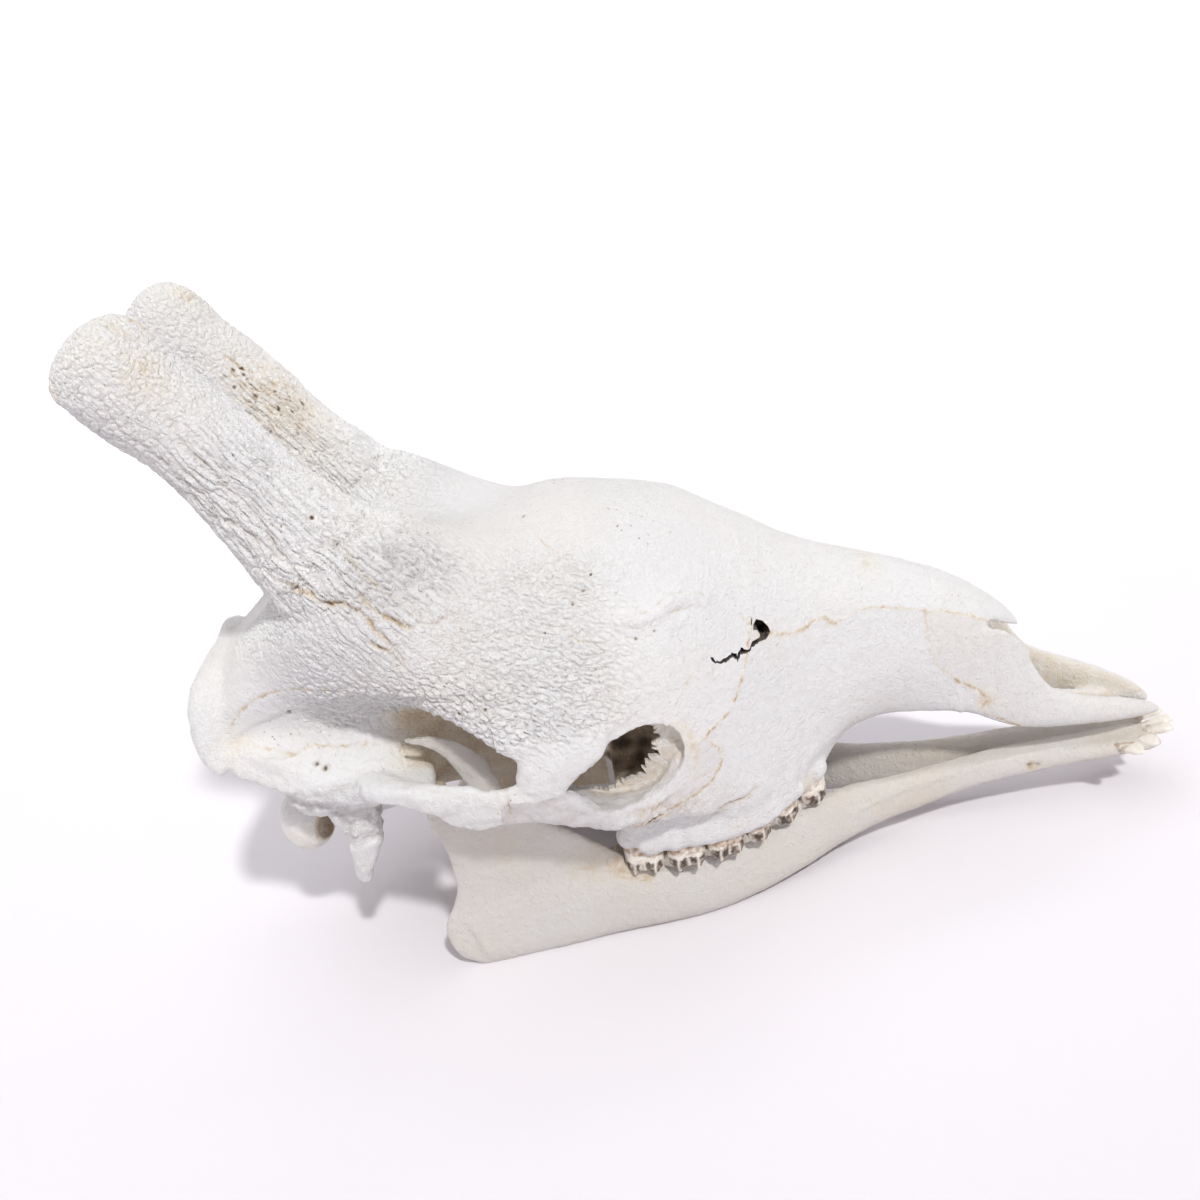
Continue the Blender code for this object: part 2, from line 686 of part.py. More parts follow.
def build_upper():
    """Cranium, face and horn bones as one fused skin."""
    bodies = [profile_loft(CRANIUM, 5.0, 4), profile_loft(FACE, 5.0, 4)]
    bodies += [bar(leaning(OSSICONE, LEFT_HORN_LEAN)), mirrored(bar(OSSICONE))]
    bodies += both_sides(bar(NUCHAL_CREST, across=(1, 0, 0)))
    skin = new_object("skin", bodies)
    fuse(skin, FINE, 10)
    openings = both_sides(bar(ORBIT, across=ORBIT_TILT), ellipsoid(*OCCIPUT_HOLLOW))
    openings += [tunnel(NASAL_CAVITY), tunnel(CHOANA), tunnel(FORAMEN_MAGNUM)]
    for opening in openings:
        carve(skin, [opening])
    bodies = [profile_loft(NASAL_TIPS, 4.0, 4)]
    bodies += [bar(bowed(PREMAXILLA, LEFT_PREMAXILLA_RISE)), mirrored(bar(PREMAXILLA))]
    bodies += both_sides(
        bar(ZYGOMATIC_ARCH),
        bar(POSTORBITAL_BAR, across=(1, 0, 0), squareness=3),
        bar(GLENOID_PLATE, across=(1, 0, 0), squareness=3),
        bar(PAROCCIPITAL, across=(1, 0, 0)),
        bar(PTERYGOID),
        bar(ORBIT_FLOOR, squareness=3),
        bar(PALATINE_PROCESS),
        ellipsoid(*OCCIPITAL_CONDYLE),
        ellipsoid(*BULLA),
        ellipsoid(*MASTOID),
    )
    add_bodies(skin, bodies)
    fuse(skin, FINE, 4)
    thin_out(skin, UPPER_TRIANGLES)
    return skin


def build_jaw():
    """Both halves of the lower jaw as one fused skin, flat where it rests."""
    bodies = both_sides(
        bar(JAW_BODY, squareness=2.6),
        upright_plate(JAW_RAMUS),
        bar(JAW_NECK, across=(1, 0, 0)),
        bar(JAW_CONDYLE, across=(1, 0, 0)),
        bar(CORONOID, across=(1, 0, 0)),
    )
    jaw = new_object("jaw", bodies)
    fuse(jaw, FINE, 5)
    thin_out(jaw, JAW_TRIANGLES)
    carve(jaw, [prism([(-400, -60), (500, -60), (500, FLOOR_TRIM), (-400, FLOOR_TRIM)], -200, 200)])
    carve(jaw, [prism([(240, -10), (420, -10), (420, 90), (240, 90)], -SUTURE_GAP / 2, SUTURE_GAP / 2)])
    for tooth in both_sides(*upper_teeth(swell=TOOTH_ROOM)):
        carve(jaw, [tooth])
    return jaw


def part_bones(skin):
    """Part the fused skull along its sutures; returns the bones' surfaces, largest first."""
    carve(skin, [saw(FACE_SUTURE, -140, 140)])
    face_plane = FACE_SUTURE + [(FACE_SUTURE[-1][0], 20), (420, 20), (420, 340)]
    carve(skin, [prism(face_plane, -SUTURE_GAP / 2, SUTURE_GAP / 2)])
    carve(skin, [saw(NASAL_SUTURE, -70, 70)])
    carve(skin, [saw(PREMAXILLA_SUTURE, -60, 60)])
    for side in (-1, 1):
        carve(skin, [horn_saw(side)])
        carve(skin, [saw(CHEEK_SUTURE, *sorted((side * CHEEK_DEPTH, side * 140)))])
        wall = sorted((side * (CHEEK_DEPTH - SUTURE_GAP / 2), side * (CHEEK_DEPTH + SUTURE_GAP / 2)))
        carve(skin, [prism(CHEEK_SUTURE + FACE_SUTURE[5:11], *wall)])
    return islands(skin)


def horn_saw(side):
    """Thin square blade across the base of one horn, at right angles to its axis."""
    centre = np.array(HORN_BASE, float) * (1, side, 1)
    axis = np.array(HORN_AXIS, float)
    axis = axis / np.linalg.norm(axis)
    rise = np.cross(axis, (0, 1, 0))
    rings = []
    for level in (-SUTURE_GAP / 2, SUTURE_GAP / 2):
        ring = [centre + axis * level + rise * u + np.array((0, v, 0))
                for u, v in ((-60, -55), (60, -55), (60, 55), (-60, 55))]
        rings.append(ring)
    return loft(rings)


def nearest_bone(bones, landmark):
    """The closed surface that passes nearest to a landmark."""
    return min(bones, key=lambda bone: np.linalg.norm(bone[0] - landmark, axis=1).min())


def material(name, colour, roughness):
    finish = bpy.data.materials.new(name)
    finish.use_nodes = True
    shader = finish.node_tree.nodes["Principled BSDF"]
    shader.inputs["Base Color"].default_value = colour
    shader.inputs["Roughness"].default_value = roughness
    shader.inputs["Metallic"].default_value = 0.0
    return finish


def add_teeth(thing, teeth):
    """Join teeth to the bone that holds them; their roots are sunk in it."""
    holder = bpy.data.collections.new("teeth")
    bpy.context.scene.collection.children.link(holder)
    crowns = []
    for k, tooth in enumerate(teeth):
        crown = new_object(f"tooth_{k}", [tooth])
        bpy.context.scene.collection.objects.unlink(crown)
        holder.objects.link(crown)
        crowns.append(crown)
    union = thing.modifiers.new("Teeth", "BOOLEAN")
    union.operation = "UNION"
    union.solver = "MANIFOLD"
    union.operand_type = "COLLECTION"
    union.collection = holder
    apply_modifiers(thing)
    for crown in crowns:
        bpy.data.objects.remove(crown, do_unlink=True)
    bpy.data.collections.remove(holder)


def finish_bone(name, bone, look, parent, teeth=()):
    """One named object from a closed surface, with its teeth, material and shading."""
    thing = new_object(name, [bone])
    if teeth:
        add_teeth(thing, teeth)
        whole = largest(islands(thing))
        bpy.data.objects.remove(thing, do_unlink=True)
        thing = new_object(name, [whole])
    thing.data.materials.append(look)
    thing.data.shade_smooth()
    thing.data.set_sharp_from_angle(angle=SHARP_ANGLE)
    thing.parent = parent


def place_on_floor(parent):
    """Move the parent so that the box of its children stands on the origin."""
    bpy.context.view_layer.update()
    corners = np.array([thing.matrix_world @ vert.co
                        for thing in parent.children for vert in thing.data.vertices])
    low = corners.min(axis=0)
    high = corners.max(axis=0)
    parent.location = (-(low[0] + high[0]) / 2, -(low[1] + high[1]) / 2, -low[2])


def main():
    clear_scene()
    looks = {name: material(name, *finish) for name, finish in FINISHES.items()}
    skull = bpy.data.objects.new("skull", None)
    bpy.context.scene.collection.objects.link(skull)
    skin = build_upper()
    bones = part_bones(skin)
    bpy.data.objects.remove(skin, do_unlink=True)
    jaw = build_jaw()
    halves = islands(jaw)
    bpy.data.objects.remove(jaw, do_unlink=True)
    finish_bone("cranium", nearest_bone(bones, LANDMARKS["cranium"]), looks["cranium_bone"], skull)
    for side, way in (("left", 1), ("right", -1)):
        for kind, look in PAIRED.items():
            bone = nearest_bone(bones, np.array(LANDMARKS[kind], float) * (1, way, 1))
            teeth = turned(upper_teeth(), way) if kind == "maxilla" else ()
            finish_bone(f"{kind}_{side}", bone, looks[look], skull, teeth)
        half = nearest_bone(halves, np.array(LANDMARKS["mandible"], float) * (1, way, 1))
        teeth = turned(lower_teeth() + front_teeth(), way)
        finish_bone(f"mandible_{side}", half, looks["jaw_bone"], skull, teeth)
    place_on_floor(skull)


main()
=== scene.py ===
"""Looks of the giraffe skull: finely modelled bones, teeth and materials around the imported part.

Shapes are worked out in a skull frame in millimetres: +X runs forward to the muzzle, +Z is up, y = 0 is
the plane of symmetry and paired bones are described on the +Y side. ORIGIN takes it to the part's frame.
"""

import math

import bmesh
import bpy
import numpy as np
from mathutils import Matrix, Vector


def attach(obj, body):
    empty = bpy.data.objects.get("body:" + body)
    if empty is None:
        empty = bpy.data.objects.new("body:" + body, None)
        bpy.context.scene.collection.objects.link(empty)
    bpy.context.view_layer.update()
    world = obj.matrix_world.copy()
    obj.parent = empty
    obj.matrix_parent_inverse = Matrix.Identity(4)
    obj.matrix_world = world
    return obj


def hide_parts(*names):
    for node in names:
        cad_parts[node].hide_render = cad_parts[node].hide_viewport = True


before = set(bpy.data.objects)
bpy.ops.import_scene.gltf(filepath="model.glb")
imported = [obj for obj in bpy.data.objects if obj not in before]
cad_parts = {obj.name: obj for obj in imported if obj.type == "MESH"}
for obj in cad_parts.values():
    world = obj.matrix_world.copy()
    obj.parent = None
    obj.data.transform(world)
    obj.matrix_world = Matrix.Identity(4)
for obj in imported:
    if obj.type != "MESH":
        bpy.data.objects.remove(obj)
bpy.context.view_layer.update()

MM = 0.001
ORIGIN = np.array((-73.93, -0.06, -0.8))
FINE = 1.6
TOOTH_FINE = 0.6
CAD_FINE = 2.2
SEED = 7

# Tables of the bones, as in the part: outline of the cranium at stations along X.
CRANIUM = [
    (-237, 229, (30, 225), (45, 217), (55, 210), (60, 198), (63, 190), (64, 182), (45, 161), 138),
    (-222, 239, (34, 234), (50, 225), (60, 213), (61, 203), (62, 193), (70, 184), (50, 153), 124),
    (-205, 250, (40, 248), (58, 237), (66, 219), (63, 206), (62, 193), (76, 180), (54, 146), 106),
    (-180, 266, (50, 274), (76, 256), (73, 223), (66, 209), (62, 190), (82, 162), (58, 133), 96),
    (-155, 278, (60, 302), (93, 270), (81, 221), (69, 208), (60, 188), (86, 150), (60, 128), 94),
    (-130, 287, (62, 324), (101, 277), (89, 220), (72, 206), (56, 182), (84, 149), (60, 133), 102),
    (-105, 292, (62, 323), (105, 268), (99, 216), (77, 203), (51, 175), (62, 149), (40, 123), 104),
    (-80, 293, (62, 310), (104, 253), (109, 203), (85, 194), (47, 172), (40, 142), (28, 114), 101),
    (-55, 292, (62, 294), (103, 239), (118, 182), (93, 181), (45, 167), (34, 137), (26, 108), 100),
    (-30, 296, (60, 281), (100, 233), (121, 175), (96, 181), (43, 165), (32, 135), (26, 105), 96),
    (0, 301, (58, 275), (94, 232), (117, 182), (95, 184), (42, 165), (34, 135), (28, 105), 92),
    (30, 291, (54, 266), (86, 226), (102, 190), (85, 188), (42, 165), (36, 135), (30, 105), 92),
]
FACE = [
    (4, 301, (58, 274), (94, 231), (114, 184), (112, 122), (85, 112), (77, 86), (56, 86), 90),
    (12, 300, (58, 273), (93, 230), (111, 183), (109, 119), (86, 109), (80, 70), (52, 70), 78),
    (28, 296, (57, 270), (91, 228), (105, 180), (103, 112), (86, 102), (81, 68), (53, 68), 78),
    (50, 292, (54, 264), (85, 223), (97, 170), (97, 104), (86, 95), (81, 67.5), (54, 67.5), 78),
    (72, 285, (50, 254), (77, 212), (86, 160), (87, 98), (82, 88), (79.5, 67), (54, 67), 78),
    (95, 270, (44, 239), (65, 202), (74, 150), (76, 96), (74, 84), (72.5, 67), (48, 67), 78),
    (118, 255, (38, 226), (53, 195), (61, 150), (62, 100), (60, 86), (57.5, 70), (38, 70), 80),
    (140, 240, (33, 215), (44, 189), (51, 148), (49, 104), (44, 90), (39, 75), (27, 76), 86),
    (158, 231, (31, 207), (40, 183), (46, 148), (42, 114), (36, 103), (30, 97), (24, 97), 98),
    (180, 222, (29, 200), (37, 178), (41, 148), (36, 120), (31, 110), (26, 106), (20, 107), 107),
    (205, 212, (27, 192), (34, 172), (37, 148), (33, 122), (29, 110), (25, 105), (19, 106), 107),
    (232, 199, (25, 182), (31, 166), (33, 145), (31, 120), (28, 106), (25, 100), (18, 101), 102),
    (256, 184, (22, 172), (28, 158), (30, 138), (29, 115), (27, 100), (25, 93), (18, 94), 96),
    (264, 179, (21, 169), (27, 155), (29, 136), (28, 112), (26, 97), (24, 90), (18, 91), 94),
]
NASAL_TIPS = [
    (232, 199, (16, 193), (27, 177), (18, 180), 188),
    (250, 188, (15, 183), (25, 168), (16, 171), 178),
    (268, 175, (13, 171), (20, 160), (12, 162), 167),
    (281, 163, (10, 160), (14, 153), (9, 153), 157),
    (291, 151, (5, 149.5), (8, 147), (5, 146.5), 148),
]
OSSICONE = [
    (-104, 61, 248, 20, 22), (-119, 62, 271, 30, 33), (-134, 62.5, 293, 35, 38), (-148, 62, 315, 33, 35),
    (-163, 62, 339, 30, 30), (-178, 62, 367, 28.5, 28), (-195, 62, 392, 28, 27.5), (-211, 62, 410, 29, 28.5),
    (-221, 62, 425, 29, 29.5), (-228, 62, 436, 26.5, 27), (-232.5, 62, 443, 20, 20), (-235, 62, 446.5, 8, 8),
]
NUCHAL_CREST = [
    (-233, 70, 178, 4, 4), (-238, 67, 183, 5, 5), (-243, 62, 192, 5, 7), (-244, 57, 204, 5, 8),
    (-243, 51, 216, 5, 8), (-239, 38, 225, 5, 8), (-235, 20, 229, 5, 8), (-233, -6, 230, 5, 8),
]
ZYGOMATIC_ARCH = [
    (40, 92, 112, 6, 10), (14, 106, 117, 7, 7), (-8, 112, 126, 7, 7), (-28, 115, 139, 6.5, 12),
    (-48, 116, 147, 6, 12.5), (-65, 115, 147, 5.5, 12.5), (-80, 112, 147, 5.5, 15), (-95, 108, 151, 6, 12),
    (-108, 104, 155, 7, 9), (-120, 99, 157, 8, 7), (-133, 91, 157, 10, 7), (-148, 76, 155, 12, 8),
]
POSTORBITAL_BAR = [
    (-24, 92, 212, 30, 9), (-24, 104, 198, 31, 9), (-24, 110, 187, 30, 9), (-28, 113, 179, 26, 8.5),
    (-32, 114.5, 171, 20, 8), (-37, 115, 161, 15.5, 7.5), (-40, 114.5, 152, 14, 7), (-42, 114, 144, 14, 6),
]
ORBIT_FLOOR = [
    (-30, 104, 148, 8, 4), (-20, 103, 136, 11, 4), (-8, 102, 127, 12, 4), (6, 101, 123, 12, 4),
    (22, 98, 124, 12, 4), (36, 92, 132, 12, 4), (47, 83, 146, 8, 4),
]
GLENOID_PLATE = [(-128, 46, 152, 16, 8), (-122, 70, 153, 16, 6), (-118, 90, 154, 14, 6), (-116, 103, 156, 9, 6)]
PAROCCIPITAL = [
    (-170, 50, 158, 12, 12), (-166, 58, 140, 18, 11), (-163, 61, 124, 15, 9), (-162, 62, 108, 12, 7),
    (-166, 62, 92, 9, 5), (-169, 61.5, 79, 6, 4), (-171, 61, 69, 3, 2.5),
]
PTERYGOID = [
    (20, 33, 88, 7, 14), (2, 30, 89, 5, 17), (-20, 27, 90, 3.6, 20), (-42, 25, 93, 3.2, 19),
    (-60, 24, 100, 3.4, 14), (-78, 21, 106, 4, 8),
]
PREMAXILLA = [
    (244, 27, 132, 4, 30), (260, 27, 126, 4.5, 33), (272, 26.5, 113, 5, 26), (284, 26, 101, 5.5, 21.5),
    (297, 25, 92, 6, 17), (313, 24, 86, 6.5, 13.5), (335, 21.5, 79.5, 7, 10.5), (355, 18, 74, 7, 8.5),
    (372, 13.5, 68.5, 6, 6.5), (384, 9.5, 64, 4.5, 4.5), (391, 7, 61, 2.5, 2.5),
]
PALATINE_PROCESS = [
    (268, 8, 97, 5, 4), (290, 7, 89, 4, 3.5), (320, 6.5, 80, 3.5, 3.5), (350, 8, 72, 3.5, 3.5),
    (374, 11, 66, 4, 3.5),
]
JAW_BODY = [
    (-104, 79, 22, 4.5, 21), (-75, 77, 29, 4.5, 29), (-50, 75, 31, 5.5, 31), (-25, 72, 32, 7, 32),
    (0, 69, 28, 9, 28), (25, 67, 24, 10, 24), (55, 63, 23.5, 10, 24), (85, 56, 25.5, 9.5, 23),
    (115, 46, 30, 9, 23.5), (140, 36.5, 33.5, 8.5, 22), (165, 28, 35, 8, 20), (190, 22.5, 35.5, 7.5, 16.5),
    (215, 18.5, 36.5, 7.5, 14.5), (245, 14, 38.5, 8.5, 11.5), (275, 10.8, 39.5, 10.5, 10.5),
    (305, 10.5, 40.5, 11, 9), (335, 11.5, 42, 12, 7.5), (360, 13, 43.5, 14, 6), (378, 13.5, 44, 14.5, 4.5),
    (386, 13.5, 44, 12, 3),
]
JAW_RAMUS = [
    (0, -106, -50, 79, 74, 3), (8, -117, -20, 78.5, 71.5, 4.5), (20, -123, 0, 78, 70, 5), (38, -123, 8, 77.5, 70, 5),
    (50, -116, 9, 77, 71, 5), (61, -111, 3, 77, 72, 4.8), (72, -110, -6, 77.5, 74, 4.6), (80, -110, -14, 78, 75.5, 4.4),
    (93, -110, -26, 80, 79, 4.2), (107, -111, -41, 82, 81.5, 4), (118, -113, -55, 83.5, 83.5, 4),
    (127, -114, -66, 84.5, 84.5, 3.5),
]
JAW_NECK = [(-105, 83.5, 112, 9, 4), (-107, 84.5, 124, 8, 5), (-108, 85, 134, 7, 7)]
JAW_CONDYLE = [
    (-107, 62, 134, 4, 3), (-108, 68, 137, 7, 5.5), (-108, 81, 138.5, 8, 6), (-108, 91, 138, 7, 5.5),
    (-108, 96, 136, 4, 3),
]
CORONOID = [
    (-74, 83, 112, 14, 4), (-75, 83.5, 130, 11, 3.8), (-77, 83, 146, 10, 3.4), (-82, 82.5, 160, 10, 3.2),
    (-90, 82, 171, 8.5, 3), (-100, 81.5, 178, 6.5, 2.8), (-110, 81, 181.5, 4.5, 2.5), (-119, 81, 182.5, 2.8, 2.2),
]
LEFT_HORN_LEAN = (-6, 0, -4)
LEFT_PREMAXILLA_RISE = 9

# Openings
ORBIT = [
    (7, 128, 151, 41, 27), (12, 113, 153, 37.5, 25), (14, 100, 154, 34.5, 24.5), (15, 91, 154, 34, 26),
    (16, 80, 152, 37, 32), (14, 66, 152, 35, 31), (8, 54, 154, 27, 22), (-4, 43, 155, 14, 12),
]
ORBIT_TILT = (0.98, 0, 0.17)
NASAL_CAVITY = [
    (330, 118, 60, 62), (290, 128, 34, 40), (266, 136, 23.5, 34), (240, 146, 23, 34), (205, 152, 21, 32),
    (175, 158, 15, 26), (150, 160, 6, 12),
]
CHOANA = [(-95, 92, 15, 14), (-50, 94, 17, 13), (-10, 96, 17, 11), (30, 98, 14, 9), (50, 98, 6, 5)]
FORAMEN_MAGNUM = [(-262, 124, 22, 22), (-226, 127, 18, 18), (-200, 131, 16, 16), (-165, 138, 14, 14), (-150, 140, 6, 6)]
OCCIPUT_HOLLOW = [(-272, 22, 186), (34, 24, 40)]
OCCIPITAL_CONDYLE = [(-205, 30, 107), (18.5, 18, 22.5)]
BULLA = [(-152, 34, 118), (18, 10, 11)]
MASTOID = [(-182, 60, 150), (20, 16, 22)]

# Finer forms than the part has: crest behind the temple, hollow in the occipital condyle, the broken ledge
# inside the orbit, the flank of the crest behind the skull, the gum line and the paler and darker stretches.
TEMPLE_CREST = [
    (-140, 84, 157, 4, 4), (-156, 82.5, 152, 3.5, 5), (-172, 81, 153, 3, 6), (-190, 78, 160, 3, 6),
    (-208, 74, 168, 3, 6), (-226, 70, 176, 4, 6),
]
CONDYLE_HOLLOW = [(-184, 47, 103), (12.5, 12, 17)]
ORBIT_BREAK = [(20, 186), (26, 177), (31, 168), (33.9, 160), (30.7, 152.8), (32.3, 148.8), (27.4, 144.6),
               (25.5, 139.9), (19.6, 135.5), (12.5, 132.1), (5.8, 129), (-2.4, 128.4), (-8.6, 129), (-17.6, 127.8),
               (-22.9, 133.5), (-30, 134)]
ORBIT_LEDGE = [(-30, 126), (-13, 118), (0, 115), (16, 117), (34, 126), (47, 140), (56, 157), (55, 174),
               (44, 186)]
LEDGE_DEPTH = (86, 88.8)
# Directions along and across the folds of the brow.
BROW_TURN = [(0.82, 0, -0.57), (0, 1, 0), (0.57, 0, 0.82)]
CREST_FLANK = 4
# How much darker the cranium's own tone is away from the horns, and more so on the saddle and boss; it is stored with
# the painted shade.
CRANIUM_SHADE, SADDLE_SHADE, BOSS_SHADE = 0.36, 0.25, 0.06
GUM_LINE = [(2, 71), (18, 66), (37, 65), (56, 65.5), (78, 63), (104, 66), (122, 70), (139, 77), (150, 84)]
JAW_EDGE_DROP = 1.5

# Suture lines in the XZ plane.
FACE_SUTURE = [
    (92, 340), (104, 212), (93, 184), (81, 165), (64, 155), (71, 143), (69, 131), (55, 122), (40, 118), (20, 112),
    (4, 106), (-1, 96), (-1, 50),
]
FACE_SUTURE_TURN = (103, 206)
NASAL_SUTURE = [
    (98, 214), (104, 207), (117, 197), (135, 192), (149, 195), (159, 189), (176, 193), (202, 188), (220, 182),
    (243, 174), (263, 164), (276, 153), (300, 134),
]
PREMAXILLA_SUTURE = [
    (220, 182), (220, 162), (225, 145), (238, 128), (255, 115), (259, 107), (257, 103), (273, 87), (283, 81), (287, 66),
]
CHEEK_SUTURE = [(-60, 100), (-60, 152), (-40, 151), (-18, 153), (20, 155), (64, 155)]
CHEEK_DEPTH = 78
CHEEK_WALL = [
    (-63, 98), (-63, 155), (-40, 154), (-18, 156), (20, 158), (66, 158), (74, 143), (72, 129), (56, 119), (39, 115),
    (20, 109), (3, 103),
]
SEAM_OVERLAP = 3
HORN_BASE = (-146, 63, 303)
HORN_AXIS = (-0.53, 0, 0.85)
FLOOR_TRIM = 0.8
SHARP_EDGE = 50
SEAM = 0.2
PREMAXILLA_SEAM = 0.3
SEAM_CLOSING = 0.11
# How far the suture blades reach from the midline: face, nasals and premaxillae.
FACE_REACH, NASAL_REACH, PREMAXILLA_REACH = 140, 70, 60
# The gap beside each nasal: a hole, with the depth where it ends, and a crack that runs back from it.
GAP_HOLE = [(107, 210), (111, 207.5), (114, 203), (115, 199), (111.5, 196), (106, 196.5), (107.8, 200.5),
            (106.5, 203.5), (103.5, 205), (104.5, 208)]
GAP_HOLE_DEPTH = 38
GAP_CRACK = [(108, 199), (106, 196), (101.5, 196), (98, 193.6), (94.5, 195.2), (90.5, 191.2), (88.4, 195),
             (84, 195.2), (80, 195.6), (77, 196.2), (74, 200.5), (73.4, 203.4), (75.2, 202.8), (76.4, 199.6),
             (80, 198), (84, 197.6), (88, 199.4), (91, 195.6), (94.6, 198.2), (98.6, 196.6), (102, 199)]
GAP_CRACK_DEPTH = 56
GAP_OUTSIDE = 120
GAP_BOX = [(72, -200, 188), (117, 200, 212)]
GAP_WALLS = 37

# Cheek teeth, rear to front: x of the two ends, y of the outer wall at each end.
UPPER_TEETH = [
    (-1, 27.5, 78.5, 81.5), (28, 56, 82, 82), (57, 84.5, 81.5, 74.5), (85.5, 104.5, 73.5, 65),
    (105.5, 126.5, 64, 52.5), (127.5, 148.5, 51.5, 41.5),
]
LOWER_TEETH = [
    (-14, 22, 69, 71), (23, 50, 71, 69), (51, 77, 68, 62), (78, 98, 63, 56), (99, 119, 55, 47), (120, 141, 46, 39),
]
UPPER_TOOTH_WIDTH = 25.0
LOWER_TOOTH_WIDTH = 16.0
PREMOLAR_WIDTH = 0.8
BITE_HEIGHT = 57.5
BITE_SLOPE = -0.22
BITE_MIDDLE = 68.0
BITE_CLEARANCE = 0.6
TOOTH_ROOM = 0.5
# Incisors and canine of one side: y of the root and of the crown, crown half width, end of the crown along X and
# rise of its edge.
FRONT_TEETH = [(4.6, 6.4, 5.0, 401, 4), (10.6, 16.5, 4.8, 397, 3.5), (15, 25, 6.4, 384, 0), (17, 31, 7.2, 370, -0.5)]

# A point on each bone of the +Y side, by which its surface is told from the others.
LANDMARKS = {
    "cranium": (-200, 0, 250), "ossicone": (-235, 62, 446), "zygomatic": (-50, 121, 140), "nasal": (200, 15, 212),
    "maxilla": (120, 60, 120), "premaxilla": (380, 10, 66), "mandible": (-100, 82, 20),
}
PAIRED = {
    "ossicone": "horn_bone", "zygomatic": "cheek_bone", "nasal": "nasal_bone", "maxilla": "maxilla_bone",
    "premaxilla": "premaxilla_bone",
}


def smooth_rows(knots, rows, at):
    """Cubic curve through rows of numbers that sit at increasing knots."""
    knots = np.asarray(knots, float)
    rows = np.asarray(rows, float)
    slopes = np.gradient(rows, knots, axis=0)
    span = np.clip(np.searchsorted(knots, at, side="right") - 1, 0, len(knots) - 2)
    width = (knots[span + 1] - knots[span])[:, None]
    t = (at - knots[span])[:, None] / width
    blend_start = 2 * t**3 - 3 * t**2 + 1
    lead_start = (t**3 - 2 * t**2 + t) * width
    lead_end = (t**3 - t**2) * width
    return (blend_start * rows[span] + lead_start * slopes[span]
            + (1 - blend_start) * rows[span + 1] + lead_end * slopes[span + 1])


def closed_curve(points, per_span):
    """Smooth closed curve through points, with the same number of samples in each span."""
    points = np.asarray(points, float)
    padded = np.vstack([points[-2:], points, points[:3]])
    steps = np.sqrt(np.linalg.norm(np.diff(padded, axis=0), axis=1))
    knots = np.concatenate([[0.0], np.cumsum(steps)])
    starts = knots[2:2 + len(points)]
    ends = knots[3:3 + len(points)]
    fractions = np.arange(per_span) / per_span
    at = (starts[:, None] + (ends - starts)[:, None] * fractions).ravel()
    return smooth_rows(knots, padded, at)


def along_path(rows, step):
    """Smooth path through rows that start with a point, and how far along it each of its samples lies."""
    rows = np.asarray(rows, float)
    lengths = np.linalg.norm(np.diff(rows[:, :3], axis=0), axis=1)
    knots = np.concatenate([[0.0], np.cumsum(lengths)])
    at = np.linspace(0, knots[-1], int(knots[-1] / step) + 2)
    return smooth_rows(knots, rows, at), at


def superellipse(around, power, tall_power=None):
    """Run and rise, from -1 to 1, of points around a circle that is squared off by a power."""
    angles = np.linspace(0, 2 * math.pi, around, endpoint=False)
    run, rise = np.cos(angles), np.sin(angles)
    return np.sign(run) * np.abs(run)**power, np.sign(rise) * np.abs(rise)**(tall_power or power)


def loft(rings):
    """Closed body through rings with equal numbers of points, its faces turned outward."""
    rings = np.asarray(rings, float)
    count, around, _ = rings.shape
    faces = []
    for ring in range(count - 1):
        for k in range(around):
            a = ring * around + k
            b = ring * around + (k + 1) % around
            faces.append((a, b, b + around, a + around))
    faces.append(tuple(range(around - 1, -1, -1)))
    faces.append(tuple((count - 1) * around + k for k in range(around)))
    points = rings.reshape(-1, 3)
    volume = 0.0
    for face in faces:
        for k in range(1, len(face) - 1):
            volume += np.dot(points[face[0]], np.cross(points[face[k]], points[face[k + 1]]))
    if volume < 0:
        faces = [face[::-1] for face in faces]
    return points, faces


def mirrored(body):
    """The body on the other side of the midline."""
    points, faces = body
    return points * (1, -1, 1), [face[::-1] for face in faces]


def both_sides(*bodies):
    """The bodies and their mirror images."""
    return list(bodies) + [mirrored(body) for body in bodies]


def profile_loft(stations, step, per_span):
    """Loft along X whose section is a mirrored half outline, read from station rows."""
    knots = [row[0] for row in stations]
    rows = [[row[1]] + [c for pair in row[2:-1] for c in pair] + [row[-1]] for row in stations]
    at = np.linspace(knots[0], knots[-1], int((knots[-1] - knots[0]) / step) + 2)
    rings = []
    for x, row in zip(at, smooth_rows(knots, rows, at)):
        side = row[1:-1].reshape(-1, 2)
        outline = np.vstack([[0, row[0]], side, [0, row[-1]], (side * (-1, 1))[::-1]])
        ring = closed_curve(outline, per_span)
        rings.append(np.column_stack([np.full(len(ring), x), ring]))
    return loft(rings)


def leaning(rows, lean):
    """The rows with a shift that grows evenly from the first row to the last."""
    share = np.linspace(0, 1, len(rows))[:, None]
    rows = np.array(rows, float)
    rows[:, :3] += share * np.asarray(lean, float)
    return rows


def bowed(rows, rise):
    """The rows with their upper edge raised in a bow between the two ends."""
    share = np.linspace(0, 1, len(rows))
    rows = np.array(rows, float)
    lift = rise / 2 * np.sin(math.pi * share**0.75)
    rows[:, 2] += lift
    rows[:, 4] += lift
    return rows


